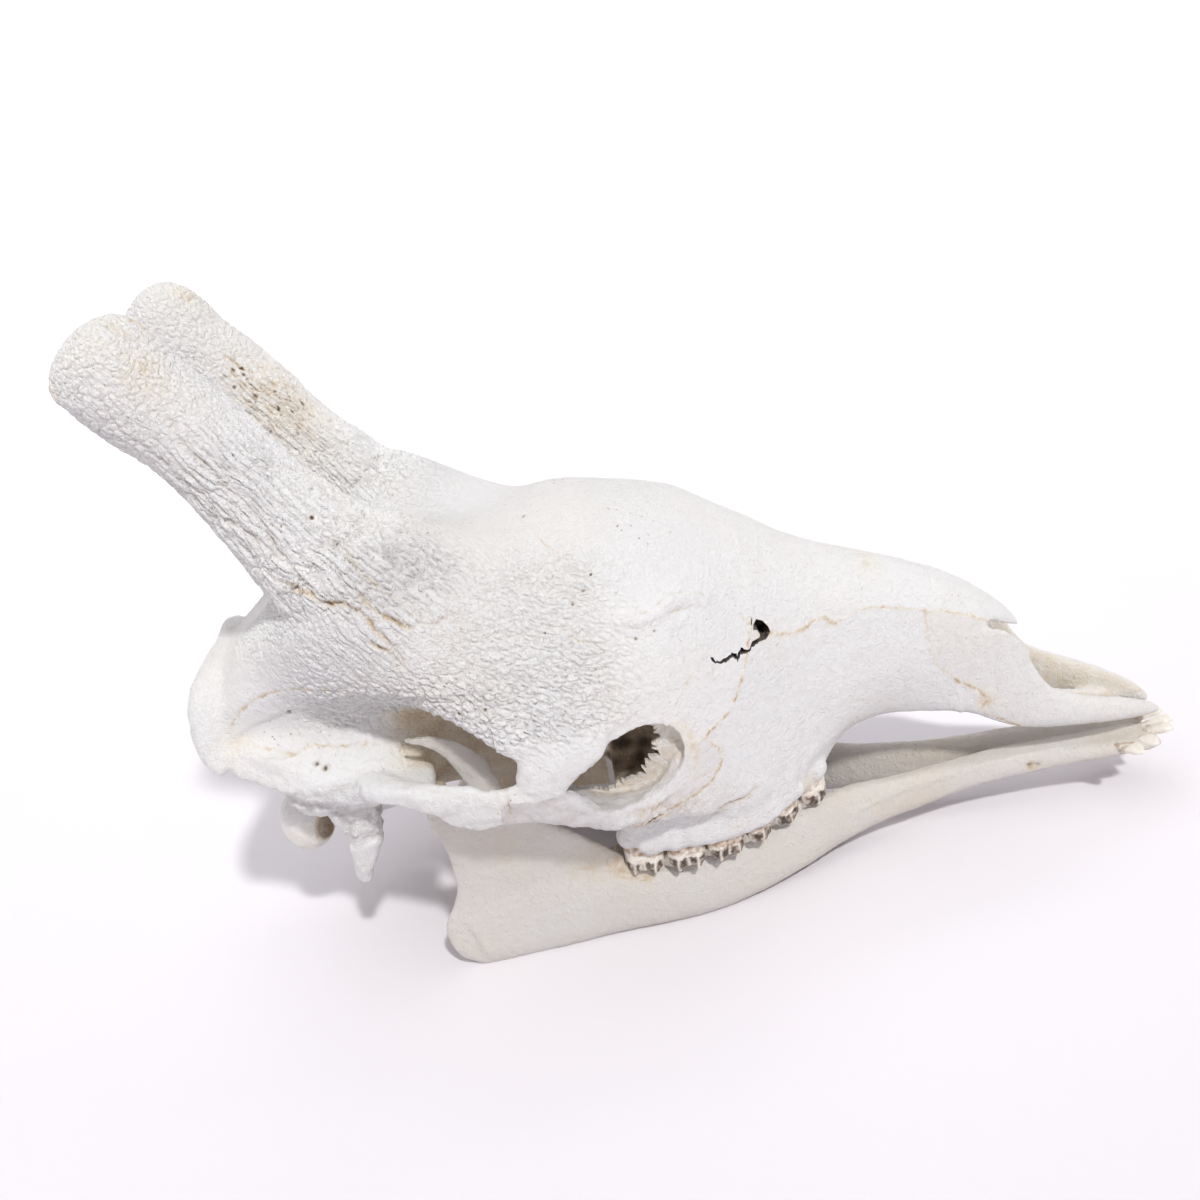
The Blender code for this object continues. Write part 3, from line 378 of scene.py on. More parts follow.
def bar(rows, across=(0, 1, 0), squareness=2.3, step=2.5, around=44):
    """Swept bone: superellipse sections along a smooth path through the rows."""
    path, at = along_path(rows, step)
    tangents = np.gradient(path[:, :3], at, axis=0)
    wide, tall = superellipse(around, 2.0 / squareness)
    rings = []
    for row, tangent in zip(path, tangents):
        tangent = tangent / np.linalg.norm(tangent)
        side = np.asarray(across, float) - np.dot(across, tangent) * tangent
        side = side / np.linalg.norm(side)
        rise = np.cross(tangent, side)
        half_wide, half_tall = np.maximum(row[3:5], 0.8)
        rings.append(row[:3] + np.outer(wide * half_wide, side) + np.outer(tall * half_tall, rise))
    return loft(rings)


def upright_plate(levels, step=2.0, around=48):
    """Upright plate whose rows give, for each level, its two ends along X, their y and half thickness."""
    knots = [row[0] for row in levels]
    rows = [row[1:] for row in levels]
    at = np.linspace(knots[0], knots[-1], int((knots[-1] - knots[0]) / step) + 2)
    length, depth = superellipse(around, 0.4, 0.8)
    rings = []
    for z, (rear, front, y_rear, y_front, half) in zip(at, smooth_rows(knots, rows, at)):
        x = (rear + front) / 2 + (front - rear) / 2 * length
        y = y_rear + (y_front - y_rear) * (1 + length) / 2 + half * depth
        rings.append(np.column_stack([x, y, np.full(around, z)]))
    return loft(rings)


def tunnel(rows):
    """Cutter on the midline: (x, z, half width, half height) along X."""
    path = [(x, 0, z, half_width, half_height) for x, z, half_width, half_height in rows]
    return bar(path, squareness=2.2)


def ellipsoid(centre, radii, around=40):
    """Rounded swelling as a stack of rings."""
    angles = np.linspace(0, 2 * math.pi, around, endpoint=False)
    rings = []
    for level in np.linspace(-0.5, 0.5, around // 2 + 1)[1:-1] * math.pi:
        ring = np.column_stack([np.cos(angles) * math.cos(level), np.sin(angles) * math.cos(level),
                                np.full(around, math.sin(level))])
        rings.append(ring * radii + centre)
    return loft(rings)


def placed(name, data):
    """A new object in the scene."""
    thing = bpy.data.objects.new(name, data)
    bpy.context.scene.collection.objects.link(thing)
    return thing


def new_object(name, bodies):
    """One object that holds the given closed bodies, placed in the part's frame."""
    points = []
    faces = []
    start = 0
    for body_points, body_faces in bodies:
        points.append((body_points + ORIGIN) * MM)
        faces.extend(tuple(start + k for k in face) for face in body_faces)
        start += len(body_points)
    mesh = bpy.data.meshes.new(name)
    mesh.from_pydata(np.vstack(points), [], faces)
    return placed(name, mesh)


def add_bodies(thing, bodies):
    """Put more closed bodies into the object's mesh."""
    extra = new_object("extra", bodies)
    mesh = bmesh.new()
    mesh.from_mesh(thing.data)
    mesh.from_mesh(extra.data)
    mesh.to_mesh(thing.data)
    mesh.free()
    bpy.data.objects.remove(extra, do_unlink=True)


def apply_modifiers(thing):
    """Replace the object's mesh by its modified shape."""
    bpy.context.view_layer.update()
    graph = bpy.context.evaluated_depsgraph_get()
    shaped = bpy.data.meshes.new_from_object(thing.evaluated_get(graph))
    thing.modifiers.clear()
    thing.data = shaped


def melt(thing, voxel, rounds):
    """Make one skin of overlapping bodies and soften it."""
    remesh = thing.modifiers.new("Melt", "REMESH")
    remesh.mode = "VOXEL"
    remesh.voxel_size = voxel * MM
    soften = thing.modifiers.new("Soften", "SMOOTH")
    soften.factor = 0.5
    soften.iterations = rounds
    apply_modifiers(thing)


def fuse(thing, rounds):
    """Melt the bodies of a bone; the rounds are told for the part's own voxel size."""
    melt(thing, FINE, max(1, int(rounds * (CAD_FINE / FINE)**2)))


def carve(thing, bodies, operation="DIFFERENCE"):
    """Boolean with each of the given bodies in turn."""
    for body in bodies:
        tool = new_object("tool", [body])
        tool.data.materials.append(CUT)
        boolean = thing.modifiers.new("Cut", "BOOLEAN")
        boolean.material_mode = "TRANSFER"
        boolean.operation = operation
        boolean.solver = "MANIFOLD"
        boolean.object = tool
        apply_modifiers(thing)
        bpy.data.objects.remove(tool, do_unlink=True)


def prism(outline, low, high):
    """Outline in the XZ plane, extruded from y = low to y = high."""
    outline = np.asarray(outline, float)
    rings = []
    for y in (low, high):
        rings.append(np.column_stack([outline[:, 0], np.full(len(outline), y), outline[:, 1]]))
    return loft(rings)


def jagged(line, size, seed, step=1.3):
    """The line in short steps that wander across it, with the across direction at each step."""
    path, at = along_path(line, step)
    along = np.gradient(path, axis=0)
    along /= np.linalg.norm(along, axis=1)[:, None]
    across = np.column_stack([-along[:, 1], along[:, 0]])
    luck = np.random.default_rng(seed)
    wander = luck.uniform(-1, 1, len(at))
    wander += np.repeat(luck.uniform(-1, 1, len(at) // 4 + 1), 4)[:len(at)]
    wander[:2] = 0
    wander[-2:] = 0
    return path + across * (wander * size / 2)[:, None], across


def saw(line, low, high, gap=SEAM, size=1.1, seed=SEED):
    """Thin ragged blade along a line in the XZ plane, extruded from y = low to y = high."""
    path, across = jagged(line, size, seed)
    return prism(np.vstack([path + across * gap / 2, (path - across * gap / 2)[::-1]]), low, high)


def horn_saw(side, half=58, count=60):
    """Thin wavy blade across the base of one horn."""
    centre = np.array(HORN_BASE, float) * (1, side, 1)
    axis = np.array(HORN_AXIS, float)
    axis = axis / np.linalg.norm(axis)
    rise = np.cross(axis, (0, 1, 0))
    u, v = np.meshgrid(np.linspace(-half, half, count), np.linspace(-half, half, count), indexing="ij")
    flat = centre + np.outer(u.ravel(), rise) + np.outer(v.ravel(), (0, 1, 0))
    wave = 2.0 * noise(flat, 9, 31) + 1.1 * noise(flat, 4, 32)
    low = flat + np.outer(wave - SEAM / 2, axis)
    high = flat + np.outer(wave + SEAM / 2, axis)
    faces = []
    size = count * count
    for i in range(count - 1):
        for j in range(count - 1):
            a = i * count + j
            quad = (a, a + 1, a + count + 1, a + count)
            faces.append(quad)
            faces.append(tuple(size + k for k in quad[::-1]))
    rim = [j for j in range(count)] + [i * count + count - 1 for i in range(1, count)]
    rim += [(count - 1) * count + j for j in range(count - 2, -1, -1)]
    rim += [i * count for i in range(count - 2, 0, -1)]
    for k, a in enumerate(rim):
        b = rim[(k + 1) % len(rim)]
        faces.append((b, a, a + size, b + size))
    points = np.vstack([low, high])
    first = points[list(faces[0])]
    turn = np.dot(np.cross(first[1] - first[0], first[2] - first[0]), axis)
    if turn > 0:
        faces = [face[::-1] for face in faces]
    return points, faces


def lattice(seed):
    """Shuffled numbers and unit vectors that make a noise."""
    luck = np.random.default_rng(seed)
    order = luck.permutation(256)
    slopes = luck.normal(size=(256, 3))
    slopes /= np.linalg.norm(slopes, axis=1)[:, None]
    return np.concatenate([order, order]), slopes


def noise(points, size, seed):
    """Smooth noise between about -1 and 1 with lumps of about the given size."""
    order, slopes = lattice(seed)
    at = points / size + 1000.0
    cell = np.floor(at).astype(np.int64)
    local = at - cell
    fade = local**3 * (local * (local * 6 - 15) + 10)
    total = np.zeros(len(points))
    for dx in (0, 1):
        row = order[(cell[:, 0] + dx) & 255]
        share_x = fade[:, 0] if dx else 1 - fade[:, 0]
        for dy in (0, 1):
            column = order[(row + cell[:, 1] + dy) & 255]
            share_y = fade[:, 1] if dy else 1 - fade[:, 1]
            for dz in (0, 1):
                slope = slopes[order[(column + cell[:, 2] + dz) & 255]]
                share_z = fade[:, 2] if dz else 1 - fade[:, 2]
                rise = ((local - (dx, dy, dz)) * slope).sum(axis=1)
                total += rise * share_x * share_y * share_z
    return total * 1.6


def pebbles(points, size, seed):
    """Rounded lumps parted by narrow grooves: 0 in a groove, 1 on a lump."""
    order, _ = lattice(seed)
    spots = np.random.default_rng(seed + 1).uniform(0.1, 0.9, (256, 3))
    at = points / size + 1000.0
    cell = np.floor(at).astype(np.int64)
    local = at - cell
    nearest = np.full(len(points), 9.0)
    second = np.full(len(points), 9.0)
    for dx in (-1, 0, 1):
        row = order[(cell[:, 0] + dx) & 255]
        for dy in (-1, 0, 1):
            column = order[(row + cell[:, 1] + dy) & 255]
            for dz in (-1, 0, 1):
                spot = spots[order[(column + cell[:, 2] + dz) & 255]] + (dx, dy, dz)
                gap = ((local - spot)**2).sum(axis=1)
                closer = gap < nearest
                second = np.where(closer, nearest, np.minimum(second, gap))
                nearest = np.where(closer, gap, nearest)
    border = np.sqrt(second) - np.sqrt(nearest)
    return 1 - (1 - np.clip(border / 0.42, 0, 1))**2


def step_between(value, low, high):
    """0 below low, 1 above high and a smooth rise between; low may be above high."""
    t = np.clip((value - low) / (high - low), 0, 1)
    return t * t * (3 - 2 * t)


def within(mask, points, pattern):
    """A pattern worked out only where its mask matters, times the mask."""
    result = np.zeros(len(points))
    chosen = mask > 0.02
    if chosen.any():
        result[chosen] = pattern(points[chosen]) * mask[chosen]
    return result


# Lines on the near (-Y) side: points on the surface, half width, depth, brown stain, raggedness.
# Those marked True are repeated on the other side.
LINES = [
    ([(-159, -93, 303), (-152, -95, 300), (-145, -96.6, 295.6), (-136.6, -96.6, 287.4), (-129, -97.4, 286.7),
      (-122, -99.3, 283.7), (-115.7, -102, 277), (-110.6, -104.6, 268), (-105.5, -105.6, 260.6),
      (-101.8, -106.6, 252), (-101.4, -107, 247)], 1.5, 3.2, 0.95, 0.8, True),
    ([(-128, -90, 323), (-121, -90.5, 316), (-117.4, -92, 308), (-113, -92, 298.5), (-106, -94, 291.4),
      (-99, -96, 285), (-93, -98, 277), (-85, -98.7, 269.5)], 1.3, 1.9, 0.5, 0.6, True),
    ([(-118, -96, 291.6), (-113, -99.5, 283), (-107.5, -101, 277.6), (-99, -102, 271.6), (-93, -102.6, 266)],
     1.4, 2.8, 0.85, 0.7, True),
    ([(-99.4, -102.4, 271), (-92, -102, 266.4), (-86, -100, 266.5), (-78.4, -98.3, 265), (-70, -94, 266.8),
      (-65.8, -96.8, 258.6), (-65.6, -99.7, 252)], 1.2, 1.5, 0.35, 0.8, True),
    ([(-121, -103, 268.6), (-115.6, -104.7, 261.3), (-107.7, -105.8, 256), (-103, -107, 244.6)],
     1.4, 2.2, 0.7, 0.7, True),
    ([(-197, -89.6, 405.4), (-190.4, -89, 400), (-189, -89.4, 389), (-184, -89.7, 381), (-177, -90, 370.4),
      (-172.7, -90, 360.5), (-167, -90.6, 353), (-159.7, -91.8, 340), (-152.3, -94.5, 315.5), (-147.7, -95.6, 306),
      (-141, -96.8, 295)], 1.5, 2.2, 0.15, 0.6, True),
    ([(-188, -84.6, 344), (-178, -89, 342.5), (-170, -91, 335), (-162, -92.8, 326), (-154, -94, 318)],
     1.5, 2.2, 0.15, 0.6, True),
    ([(-167.4, -90.8, 350), (-161.5, -91.5, 342), (-157, -93, 327.5), (-152, -94.5, 315.5)], 1.2, 1.6, 0.1, 0.5, True),
    ([(-205, -88, 402), (-199, -89, 390), (-194, -89.5, 379), (-188, -89.5, 368), (-183, -89, 356), (-176, -90, 345)],
     1.3, 1.7, 0.05, 0.7, True),
    ([(-180, -90, 388), (-175, -90.5, 378), (-169, -90.5, 368), (-163, -91, 356), (-156, -92, 344), (-150, -93, 330)],
     1.2, 1.4, 0.05, 0.7, True),
    ([(-196, -80, 366), (-190, -84, 354), (-184, -86, 343), (-176, -88, 330), (-168, -90, 318), (-160, -92, 308)],
     1.3, 1.8, 0.1, 0.7, True),
    ([(-189, 39, 405.6), (-185, 39.8, 402), (-181.4, 39, 396.6)], 0.9, 1.6, 0.9, 0.4, False),
    ([(-16.8, -42.5, 287), (-14, -49, 283), (-9, -54, 279.4), (-3, -58.4, 275), (-1, -60.4, 273)],
     0.6, 0.6, 0.55, 0.4, False),
    ([(-9.5, -87.4, 245.5), (-8, -90.8, 240), (-4, -91.8, 237), (1, -92.6, 234), (7.5, -91.8, 233)],
     0.7, 0.8, 0.6, 0.3, False),
    ([(61, -87, 198), (57, -90, 195), (54.5, -92, 191)], 0.8, 0.6, 0.5, 0.8, True),
    ([(-227.1, -61.6, 195.9), (-221.6, -61.2, 204.1), (-214.1, -62.8, 211.5), (-195.7, -68.3, 223.1),
      (-172.2, -76.9, 227.8), (-160.1, -82.3, 228.2), (-148.3, -86.6, 227.8), (-138.9, -88.8, 226.3),
      (-130.1, -91.4, 225.7)], 1.0, 1.1, 0.95, 0.5, True),
    ([(-220.2, -90.8, 417.3), (-216.3, -89, 400), (-205.5, -87.9, 385.7), (-192.8, -88, 366.6), (-182.2, -88.6, 347.7),
      (-171.6, -90, 326.8), (-167.8, -89.3, 307.7)], 1.3, 1.8, 0.1, 0.7, True),
    ([(-212.4, -66, 189), (-198.5, -69, 185.4), (-184, -69, 181), (-179, -66, 183), (-169, -66.5, 180.6),
      (-160, -66, 178.7), (-148, -65, 176.7), (-139, -63.6, 175), (-127, -60.6, 173)], 0.8, 0.9, 0.65, 1.4, True),
    ([(-183, -63, 198.7), (-183.5, -63, 189.4), (-182.5, -66, 184.4)], 0.6, 0.6, 0.5, 0.5, False),
    ([(-217, -68.6, 187), (-206.4, -73, 183.5), (-193, -72, 181), (-184, -69, 181)], 0.6, 0.6, 0.45, 0.8, True),
    ([(6, -113, 119), (21, -108, 113), (37.4, -90, 104), (53, -88, 97), (66, -86, 96), (80, -83.5, 99),
      (94, -76, 102)], 2.0, 2.2, 0.25, 0.6, True),
    ([(-4, -75, 70), (-3.6, -75.3, 65), (-5.8, -75.9, 60), (-3.6, -76.1, 55), (3.6, -76.3, 51), (15, -76, 48)],
     1.5, 0.9, 1.0, 0.5, True),
    ([(-6.1, -75, 70.3), (-10.5, -76.9, 65), (-9.4, -76.7, 56.5), (-1.3, -77.2, 49.5), (14.6, -76.8, 44)],
     1.0, 0.6, 0.7, 0.5, True),
    # Brown along this groove under the lower edge of the arch is painted shade of that overhang.
    ([(22, -103, 109), (31, -98, 104), (40.5, -94, 101), (49, -92, 99.5), (56.7, -90.9, 98.4), (71.6, -87.2, 99.6),
      (84.9, -81.1, 99.4), (93, -77, 103)], 1.1, 2.0, 0.7, 0.5, True),
    ([(23, -84.8, 240.2), (30.9, -82.6, 240.3), (44.9, -76.8, 240.8), (51.3, -72, 243.4), (59.7, -67.4, 243),
      (69.3, -63.7, 239.5), (77.8, -61.5, 234.1)], 0.8, 0.9, 0.45, 0.5, True),
    ([(23.6, -85.9, 238.3), (29.4, -86.7, 234.3), (39.1, -83.7, 233.5), (48.2, -79, 235.4), (58.4, -73.6, 234.9),
      (69.3, -68.2, 232.9)], 0.8, 0.9, 0.4, 0.5, True),
    ([(-59.4, -114, 159), (-59, -120, 154.7), (-60.4, -120.7, 144.7)], 1.1, 1.6, 0.35, 0.4, True),
    ([(38.5, -103.6, 125), (49, -100, 129), (59, -95, 132), (69.7, -89.4, 132.6)], 0.6, 0.4, 0.3, 0.9, True),
    ([(-189, -75.6, 158), (-186.6, -74.4, 145), (-185, -70, 134)], 1.2, 1.2, 0.3, 0.8, True),
]

# Short brown dashes of the far horn, along its axis: from, to, how far across.
HORN_DASHES = [(-189, 37, 401), (-146, 43, 350), (9, 2.5, 5.6), 34]

# Raised ridges on the near side: points, half width, height.
RIDGES = [
    ([(23, -85, 239), (31, -84, 237.5), (40, -81, 237), (48, -76.5, 238.5), (57, -70, 240), (66, -66, 237.5),
      (77, -62, 233.5)], 4.2, 2.4, True),
    ([(49, -79.7, 233.6), (51.5, -80.5, 230), (58, -78, 227.4), (62.8, -73.4, 230.6)], 1.6, 0.9, True),
    ([(75.9, -81.2, 87.3), (77.3, -80.2, 80), (78.6, -79.5, 74)], 3.4, 2.0, True),
    ([(-246, -78.6, 424), (-244, -80, 418.7), (-240, -84, 417), (-235, -86.7, 416)], 3.5, 1.6, True),
    ([(160, -38, 38.4), (199, -27.7, 44), (236, -22.3, 45.5), (273, -18.3, 48), (317, -17, 48.5)], 1.8, 0.9, True),
    ([(45.5, -91.7, 147.4), (31.8, -98, 133.7), (14.3, -108.4, 128.6), (-1, -114.5, 129.6), (-12.8, -118.8, 135.2),
      (-20.3, -119.7, 141)], 2.2, 1.0, True),
    ([(-163, -70, 134), (-166, -70, 118), (-168, -68, 100), (-170, -65, 84)], 2.6, 1.8, True),
]

# Small pits and holes: point, radius, depth, darkness.
SPOTS = [
    ((31.6, -39.8, 280.7), 0.9, 0.8, 0.8), ((11, -67.6, 264.4), 1.1, 1.0, 0.95), ((5, -74.3, 258), 1.2, 1.0, 0.7),
    ((-2, -79.6, 253.7), 1.1, 0.9, 0.7), ((-20, -91.3, 243.4), 0.9, 0.8, 0.6), ((42.4, -84.8, 229.6), 1.0, 0.9, 0.7),
    ((31, -89, 228.8), 1.1, 0.9, 0.7), ((-22.6, -28, 293), 0.9, 0.8, 0.7), ((-76.7, -112, 212), 1.2, 1.4, 0.95),
    ((-61, -114, 213), 1.1, 1.3, 0.95), ((-175, -74, 173.5), 1.5, 3.0, 0.9), ((-170.4, -75, 171), 1.8, 3.0, 0.95),
    ((-185, -64, 205.7), 1.4, 1.5, 0.75), ((-133, -86.8, 334.4), 1.5, 2.0, 0.95), ((-149.5, -92, 334), 0.9, 0.9, 0.7),
    ((-190, -64, 430), 1.1, 1.0, 0.7), ((-181, 38, 392.7), 1.3, 1.4, 0.85), ((-187.8, 35, 386.7), 1.4, 1.2, 0.8),
    ((-178.7, 37.8, 389.5), 0.9, 0.9, 0.7), ((-172, 38.4, 382.4), 0.9, 0.9, 0.7), ((-165.4, 41, 378), 1.0, 0.9, 0.7),
    ((-158, 43, 371), 0.9, 0.9, 0.7), ((-151, 46, 363), 1.0, 0.9, 0.6), ((-156.8, 35, 350.7), 1.7, 1.0, 0.45),
    ((-173, 33.4, 355), 1.4, 1.0, 0.5), ((-177.7, 34.8, 375.3), 0.9, 0.9, 0.7), ((-164.5, 36, 364), 0.9, 0.9, 0.7),
    ((294, -21, 40), 2.2, 3.4, 0.25), ((298, -20.5, 40.3), 1.9, 2.8, 0.15),
    ((294, 21, 40), 2.2, 3.4, 0.25), ((298, 20.5, 40.3), 1.9, 2.8, 0.15), ((-175, 74, 173.5), 1.7, 3.0, 0.95),
]

# Soft brown or yellow tints: point, radius, strength and whether the other side has it too.
TINTS = [
    ((-204, -56, 447), 10, 0.55, False), ((-196, -82, 427), 13, 0.35, False), ((-215, -70, 440), 20, 0.28, False),
    ((-245, -78, 423), 7, 0.45, False), ((-204, 56, 447), 10, 0.4, False), ((-160, 38, 372), 30, 0.34, False),
    ((-175, 36, 360), 22, 0.26, False), ((190, -10, 214), 9, 0.35, False), ((186, 4, 218), 8, 0.3, False),
    ((-4, -75.5, 62), 4.5, 0.95, True), ((-4, -76, 55), 4.5, 0.9, True), ((3, -76, 50), 4, 0.8, True),
    ((14, -76, 47), 4, 0.6, True), ((-3, -75, 60), 9, 0.75, True), ((-20, -77, 64), 20, 0.34, True),
    ((-70, -78, 95), 30, 0.14, True), ((200, -20, 40), 40, 0.12, True), ((295.9, -21, 40), 4, 0.9, True),
    ((392, -12, 44), 12, 0.5, True), ((78, -80, 78), 5, 0.35, True), ((130, -46, 76), 9, 0.5, True),
    ((60, -86, 106), 16, 0.2, True), ((110, -54, 200), 7, 0.45, True), ((180, -30, 120), 30, 0.1, True),
    ((258, -31, 108), 7, 0.5, True), ((-208, -38, 98), 20, 0.34, True), ((-220, -62, 190), 12, 0.25, True),
]


def horn_dashes():
    """The lines of the far horn's dashes."""
    start, end, across, count = HORN_DASHES
    rng = np.random.default_rng(SEED + 70)
    axis = np.array(HORN_AXIS)
    dashes = []
    for share, aside, length in rng.uniform((0, -1, 1.2), (1, 1, 2.8), (count, 3)):
        middle = np.array(start) * (1 - share) + np.array(end) * share + aside * np.array(across)
        dashes.append(([middle - length * axis, middle, middle + length * axis], 0.75, 1.2, 0.95, 0.3, False))
    return dashes


def near_to(points, places, reach):
    """The points in reach of some places: their numbers, distance to the nearest place and its number."""
    places = np.asarray(places, float)
    low = places.min(axis=0) - reach
    high = places.max(axis=0) + reach
    chosen = np.nonzero(((points > low) & (points < high)).all(axis=1))[0]
    best = np.full(len(chosen), 1e9)
    which = np.zeros(len(chosen), int)
    pool = points[chosen]
    for k, place in enumerate(places):
        gap = ((pool - place)**2).sum(axis=1)
        which[gap < best] = k
        best = np.minimum(best, gap)
    close = best < reach**2
    return chosen[close], np.sqrt(best[close]), which[close]


def snapped(points, places, reach=9.0):
    """Places moved to the nearest of the points, where one is within reach."""
    moved = []
    low = places.min(axis=0) - reach
    high = places.max(axis=0) + reach
    pool = points[((points > low) & (points < high)).all(axis=1)]
    for place in places:
        if not len(pool):
            break
        gaps = ((pool - place)**2).sum(axis=1)
        k = gaps.argmin()
        if gaps[k] < reach**2:
            moved.append(pool[k])
    return np.array(moved)


def strewn(line, ragged, seed, step=0.5):
    """Samples along a line in space that wander off it a little."""
    path, _ = along_path(line, step)
    wander = np.column_stack([noise(path + k * 97, 3.0, seed + k) for k in range(3)])
    finer = np.column_stack([noise(path + k * 71, 1.3, seed + 9 + k) for k in range(3)])
    return path + ragged * (wander + 0.6 * finer)


def along_horn(points):
    """How far each point lies along a horn from its base, and the horn's direction."""
    axis = np.array(HORN_AXIS, float)
    axis = axis / np.linalg.norm(axis)
    return ((points - HORN_BASE) * (1, 0, 1)) @ axis, axis


def regions(points):
    """Where the surface is worked: horn, its tip and shaft, leathery brow, boss and saddle of the roof."""
    x, y, z = points.T
    aside = np.abs(y)
    along, _ = along_horn(points)
    horn = step_between(along, -34, -6) * step_between(aside, 12, 30) * (z > 240)
    tip = horn * step_between(along, 78, 112)
    crown = step_between(z, 172, 196) * (1 - horn)
    brow = crown * step_between(aside, 38, 66) * step_between(x, 52, -8) * step_between(z, 300, 268)
    brow = brow * step_between(x, -196, -150)
    boss = crown * step_between(z, 238, 262) * step_between(x, -70, -30) * step_between(x, 110, 60) * (1 - brow)
    saddle = crown * step_between(x, -40, -90) * (1 - brow) * step_between(x, -210, -170)
    return horn, tip, horn - tip, brow, boss, saddle


def coarse_skin(points):
    """Points where the relief is too fine for the fused skin and its faces are split."""
    horn, _, _, brow, _, saddle = regions(points)
    return (horn + brow > 0.1) | (saddle > 0.3)


def knobs(points):
    """Relief of the tips of the horns: round lumps."""
    return pebbles(points * (0.7, 1, 1), 3.7, 21) - 0.6 + 0.3 * (pebbles(points, 2.0, 22) - 0.6)


def grooves(points):
    """Relief of the shafts of the horns: long ridges parted by narrow grooves."""
    return (1.2 * (pebbles(points * (0.08, 1, 1), 3.9, 23) - 0.75)
            + 0.6 * (pebbles(points * (0.16, 1, 1), 2.2, 24) - 0.7)
            + 0.2 * (pebbles(points * (0.6, 1, 1), 1.9, 29) - 0.6))


def wrinkles(points):
    """Relief of the brow: short folds."""
    return (pebbles(points * (0.42, 1, 1), 3.2, 25) - 0.7 + 0.6 * noise(points * (0.5, 1, 1), 2.6, 26)
            + 0.5 * (pebbles(points * (0.3, 1, 1), 5.5, 18) - 0.8))


def streaks(points):
    """Relief of the boss: faint streaks."""
    return pebbles(points * (0.2, 0.8, 1), 2.5, 27) - 0.8


def crazing(points):
    """Cracks of the scar on the cheek."""
    return 1 - pebbles(points * (0.7, 1, 1), 5.0, 45)


def pinholes(points):
    """Small pits of the inner sides of the horns."""
    return np.clip(noise(points * (0.35, 1, 1), 2.4, 69) - 0.44, 0, 1)


def horn_grain(points):
    """The points in directions along and across a horn, bent by wide and narrow noise, and those two noises."""
    _, axis = along_horn(points)
    turn = np.array([axis, (0, 1, 0), np.cross(axis, (0, 1, 0))])
    bend = np.column_stack([noise(points, 24, seed) for seed in (11, 12, 13)])
    warp = np.column_stack([noise(points, 5, seed) for seed in (14, 16, 17)])
    return points @ turn.T + bend * 4.0 + warp * 0.7, bend, warp


def worked_places(points):
    """Where muscles, wear and the roots of the teeth work the surface."""
    x, y, z = points.T
    aside = np.abs(y)
    rear = step_between(x, -190, -225) * (1 - regions(points)[0])
    slope = 0.35 * np.minimum(x + 200, 60)
    return {
        "lumps": rear * np.clip(step_between(aside, 30, 50) + step_between(z, 205, 225), 0, 1),
        "mastoid": (step_between(z, 172, 156) * step_between(z, 92, 112) * step_between(x, -140, -152)
                    * step_between(aside, 48, 56)),
        "blade": step_between(z, 112, 96) * (x < -140) * (aside > 48),
        "arch": step_between(z, 172, 164) * step_between(aside, 94, 104) * (z > 118) * (x < 20),
        "shelf": (step_between(z, 130, 118) * step_between(z, 92, 100) * step_between(aside, 76, 84) * (x > -5)
                  * (x < 110)),
        "temple": (step_between(z, 205 + slope, 201 + slope) * step_between(x, -226, -219) * (x < -60)
                   * step_between(z, 160, 172) * (aside > 42)),
        "scar": (step_between(x, 6, 14) * step_between(x, 62, 48) * step_between(aside, 90, 97)
                 * step_between(z, 106, 112) * step_between(z, 130, 123)),
        "roots": (step_between(z, 62, 72) * step_between(z, 118, 96) * step_between(x, 0, 10)
                  * step_between(x, 156, 140) * (aside > 34)),
        "nasals": step_between(x, 120, 150) * step_between(z, 186, 196) * step_between(aside, 34, 24),
    }


def leather(points, drawn, bend, warp):
    """Relief of the horns, the fan below them, the brow and the roof, and the faint grain of the rest."""
    x, y, z = points.T
    along, _ = along_horn(points)
    horn, tip, shaft, brow, boss, saddle = regions(points)
    slanted = points @ np.array(BROW_TURN).T + bend * 3.0 + warp * 1.4
    fan = (step_between(along, -94, -46) * (1 - horn) * step_between(np.abs(y), 58, 78)
           * step_between(z, 236, 252) * step_between(x, -150, -132))
    calm = np.clip(1 - horn - brow - boss - saddle, 0, 1)
    relief = within(tip, drawn, knobs) * 1.2
    relief += within(shaft, drawn, grooves) * 1.55
    relief += within(fan, drawn, grooves) * 1.3
    relief += within(brow * (1 - fan), slanted, wrinkles) * (1.2 + 0.6 * step_between(z, 245, 222))
    relief += within(np.minimum(1, boss), points + bend * 3.0 + warp * 0.5, streaks) * 0.38
    relief += within(np.minimum(1, saddle), drawn, grooves) * 0.75
    relief += 0.16 * calm * noise(points, 2.6, 28) + 0.28 * calm * noise(points, 5.5, 19)
    return relief


def deepen(values, amount, chosen=slice(None)):
    """Raise the chosen values to an amount where they are lower."""
    values[chosen] = np.maximum(values[chosen], amount)


def add_wear(points, places, warp, height, fine):
    """Relief of the worked places; gives back the cracks of the scar."""
    height -= 1.6 * places["temple"]
    height += 2.2 * places["roots"] * noise(points * (1, 1, 0.4), 11, 47)
    fine += 0.4 * places["lumps"] * (noise(points, 6, 33) + 0.6 * noise(points, 3, 34))
    fine += places["mastoid"] * (2.5 * noise(points, 7.5, 35) + 1.6 * noise(points, 3.4, 36))
    fine += places["blade"] * 1.3 * noise(points * (1, 1, 0.3), 5, 39)
    fine += places["arch"] * (1.4 * noise(points * (0.4, 1, 1), 7, 40) + 0.7 * noise(points, 3, 41))
    fine += 0.4 * places["shelf"] * (noise(points, 4, 37) + 0.6 * noise(points, 2.2, 38))
    crazed = within(places["scar"], points + warp * 1.5, crazing)
    fine += places["scar"] * 0.8 * noise(points, 4, 46) - 1.0 * crazed
    fine += 0.28 * places["nasals"] * noise(points * (0.6, 1, 1), 2.6, 48)
    return crazed


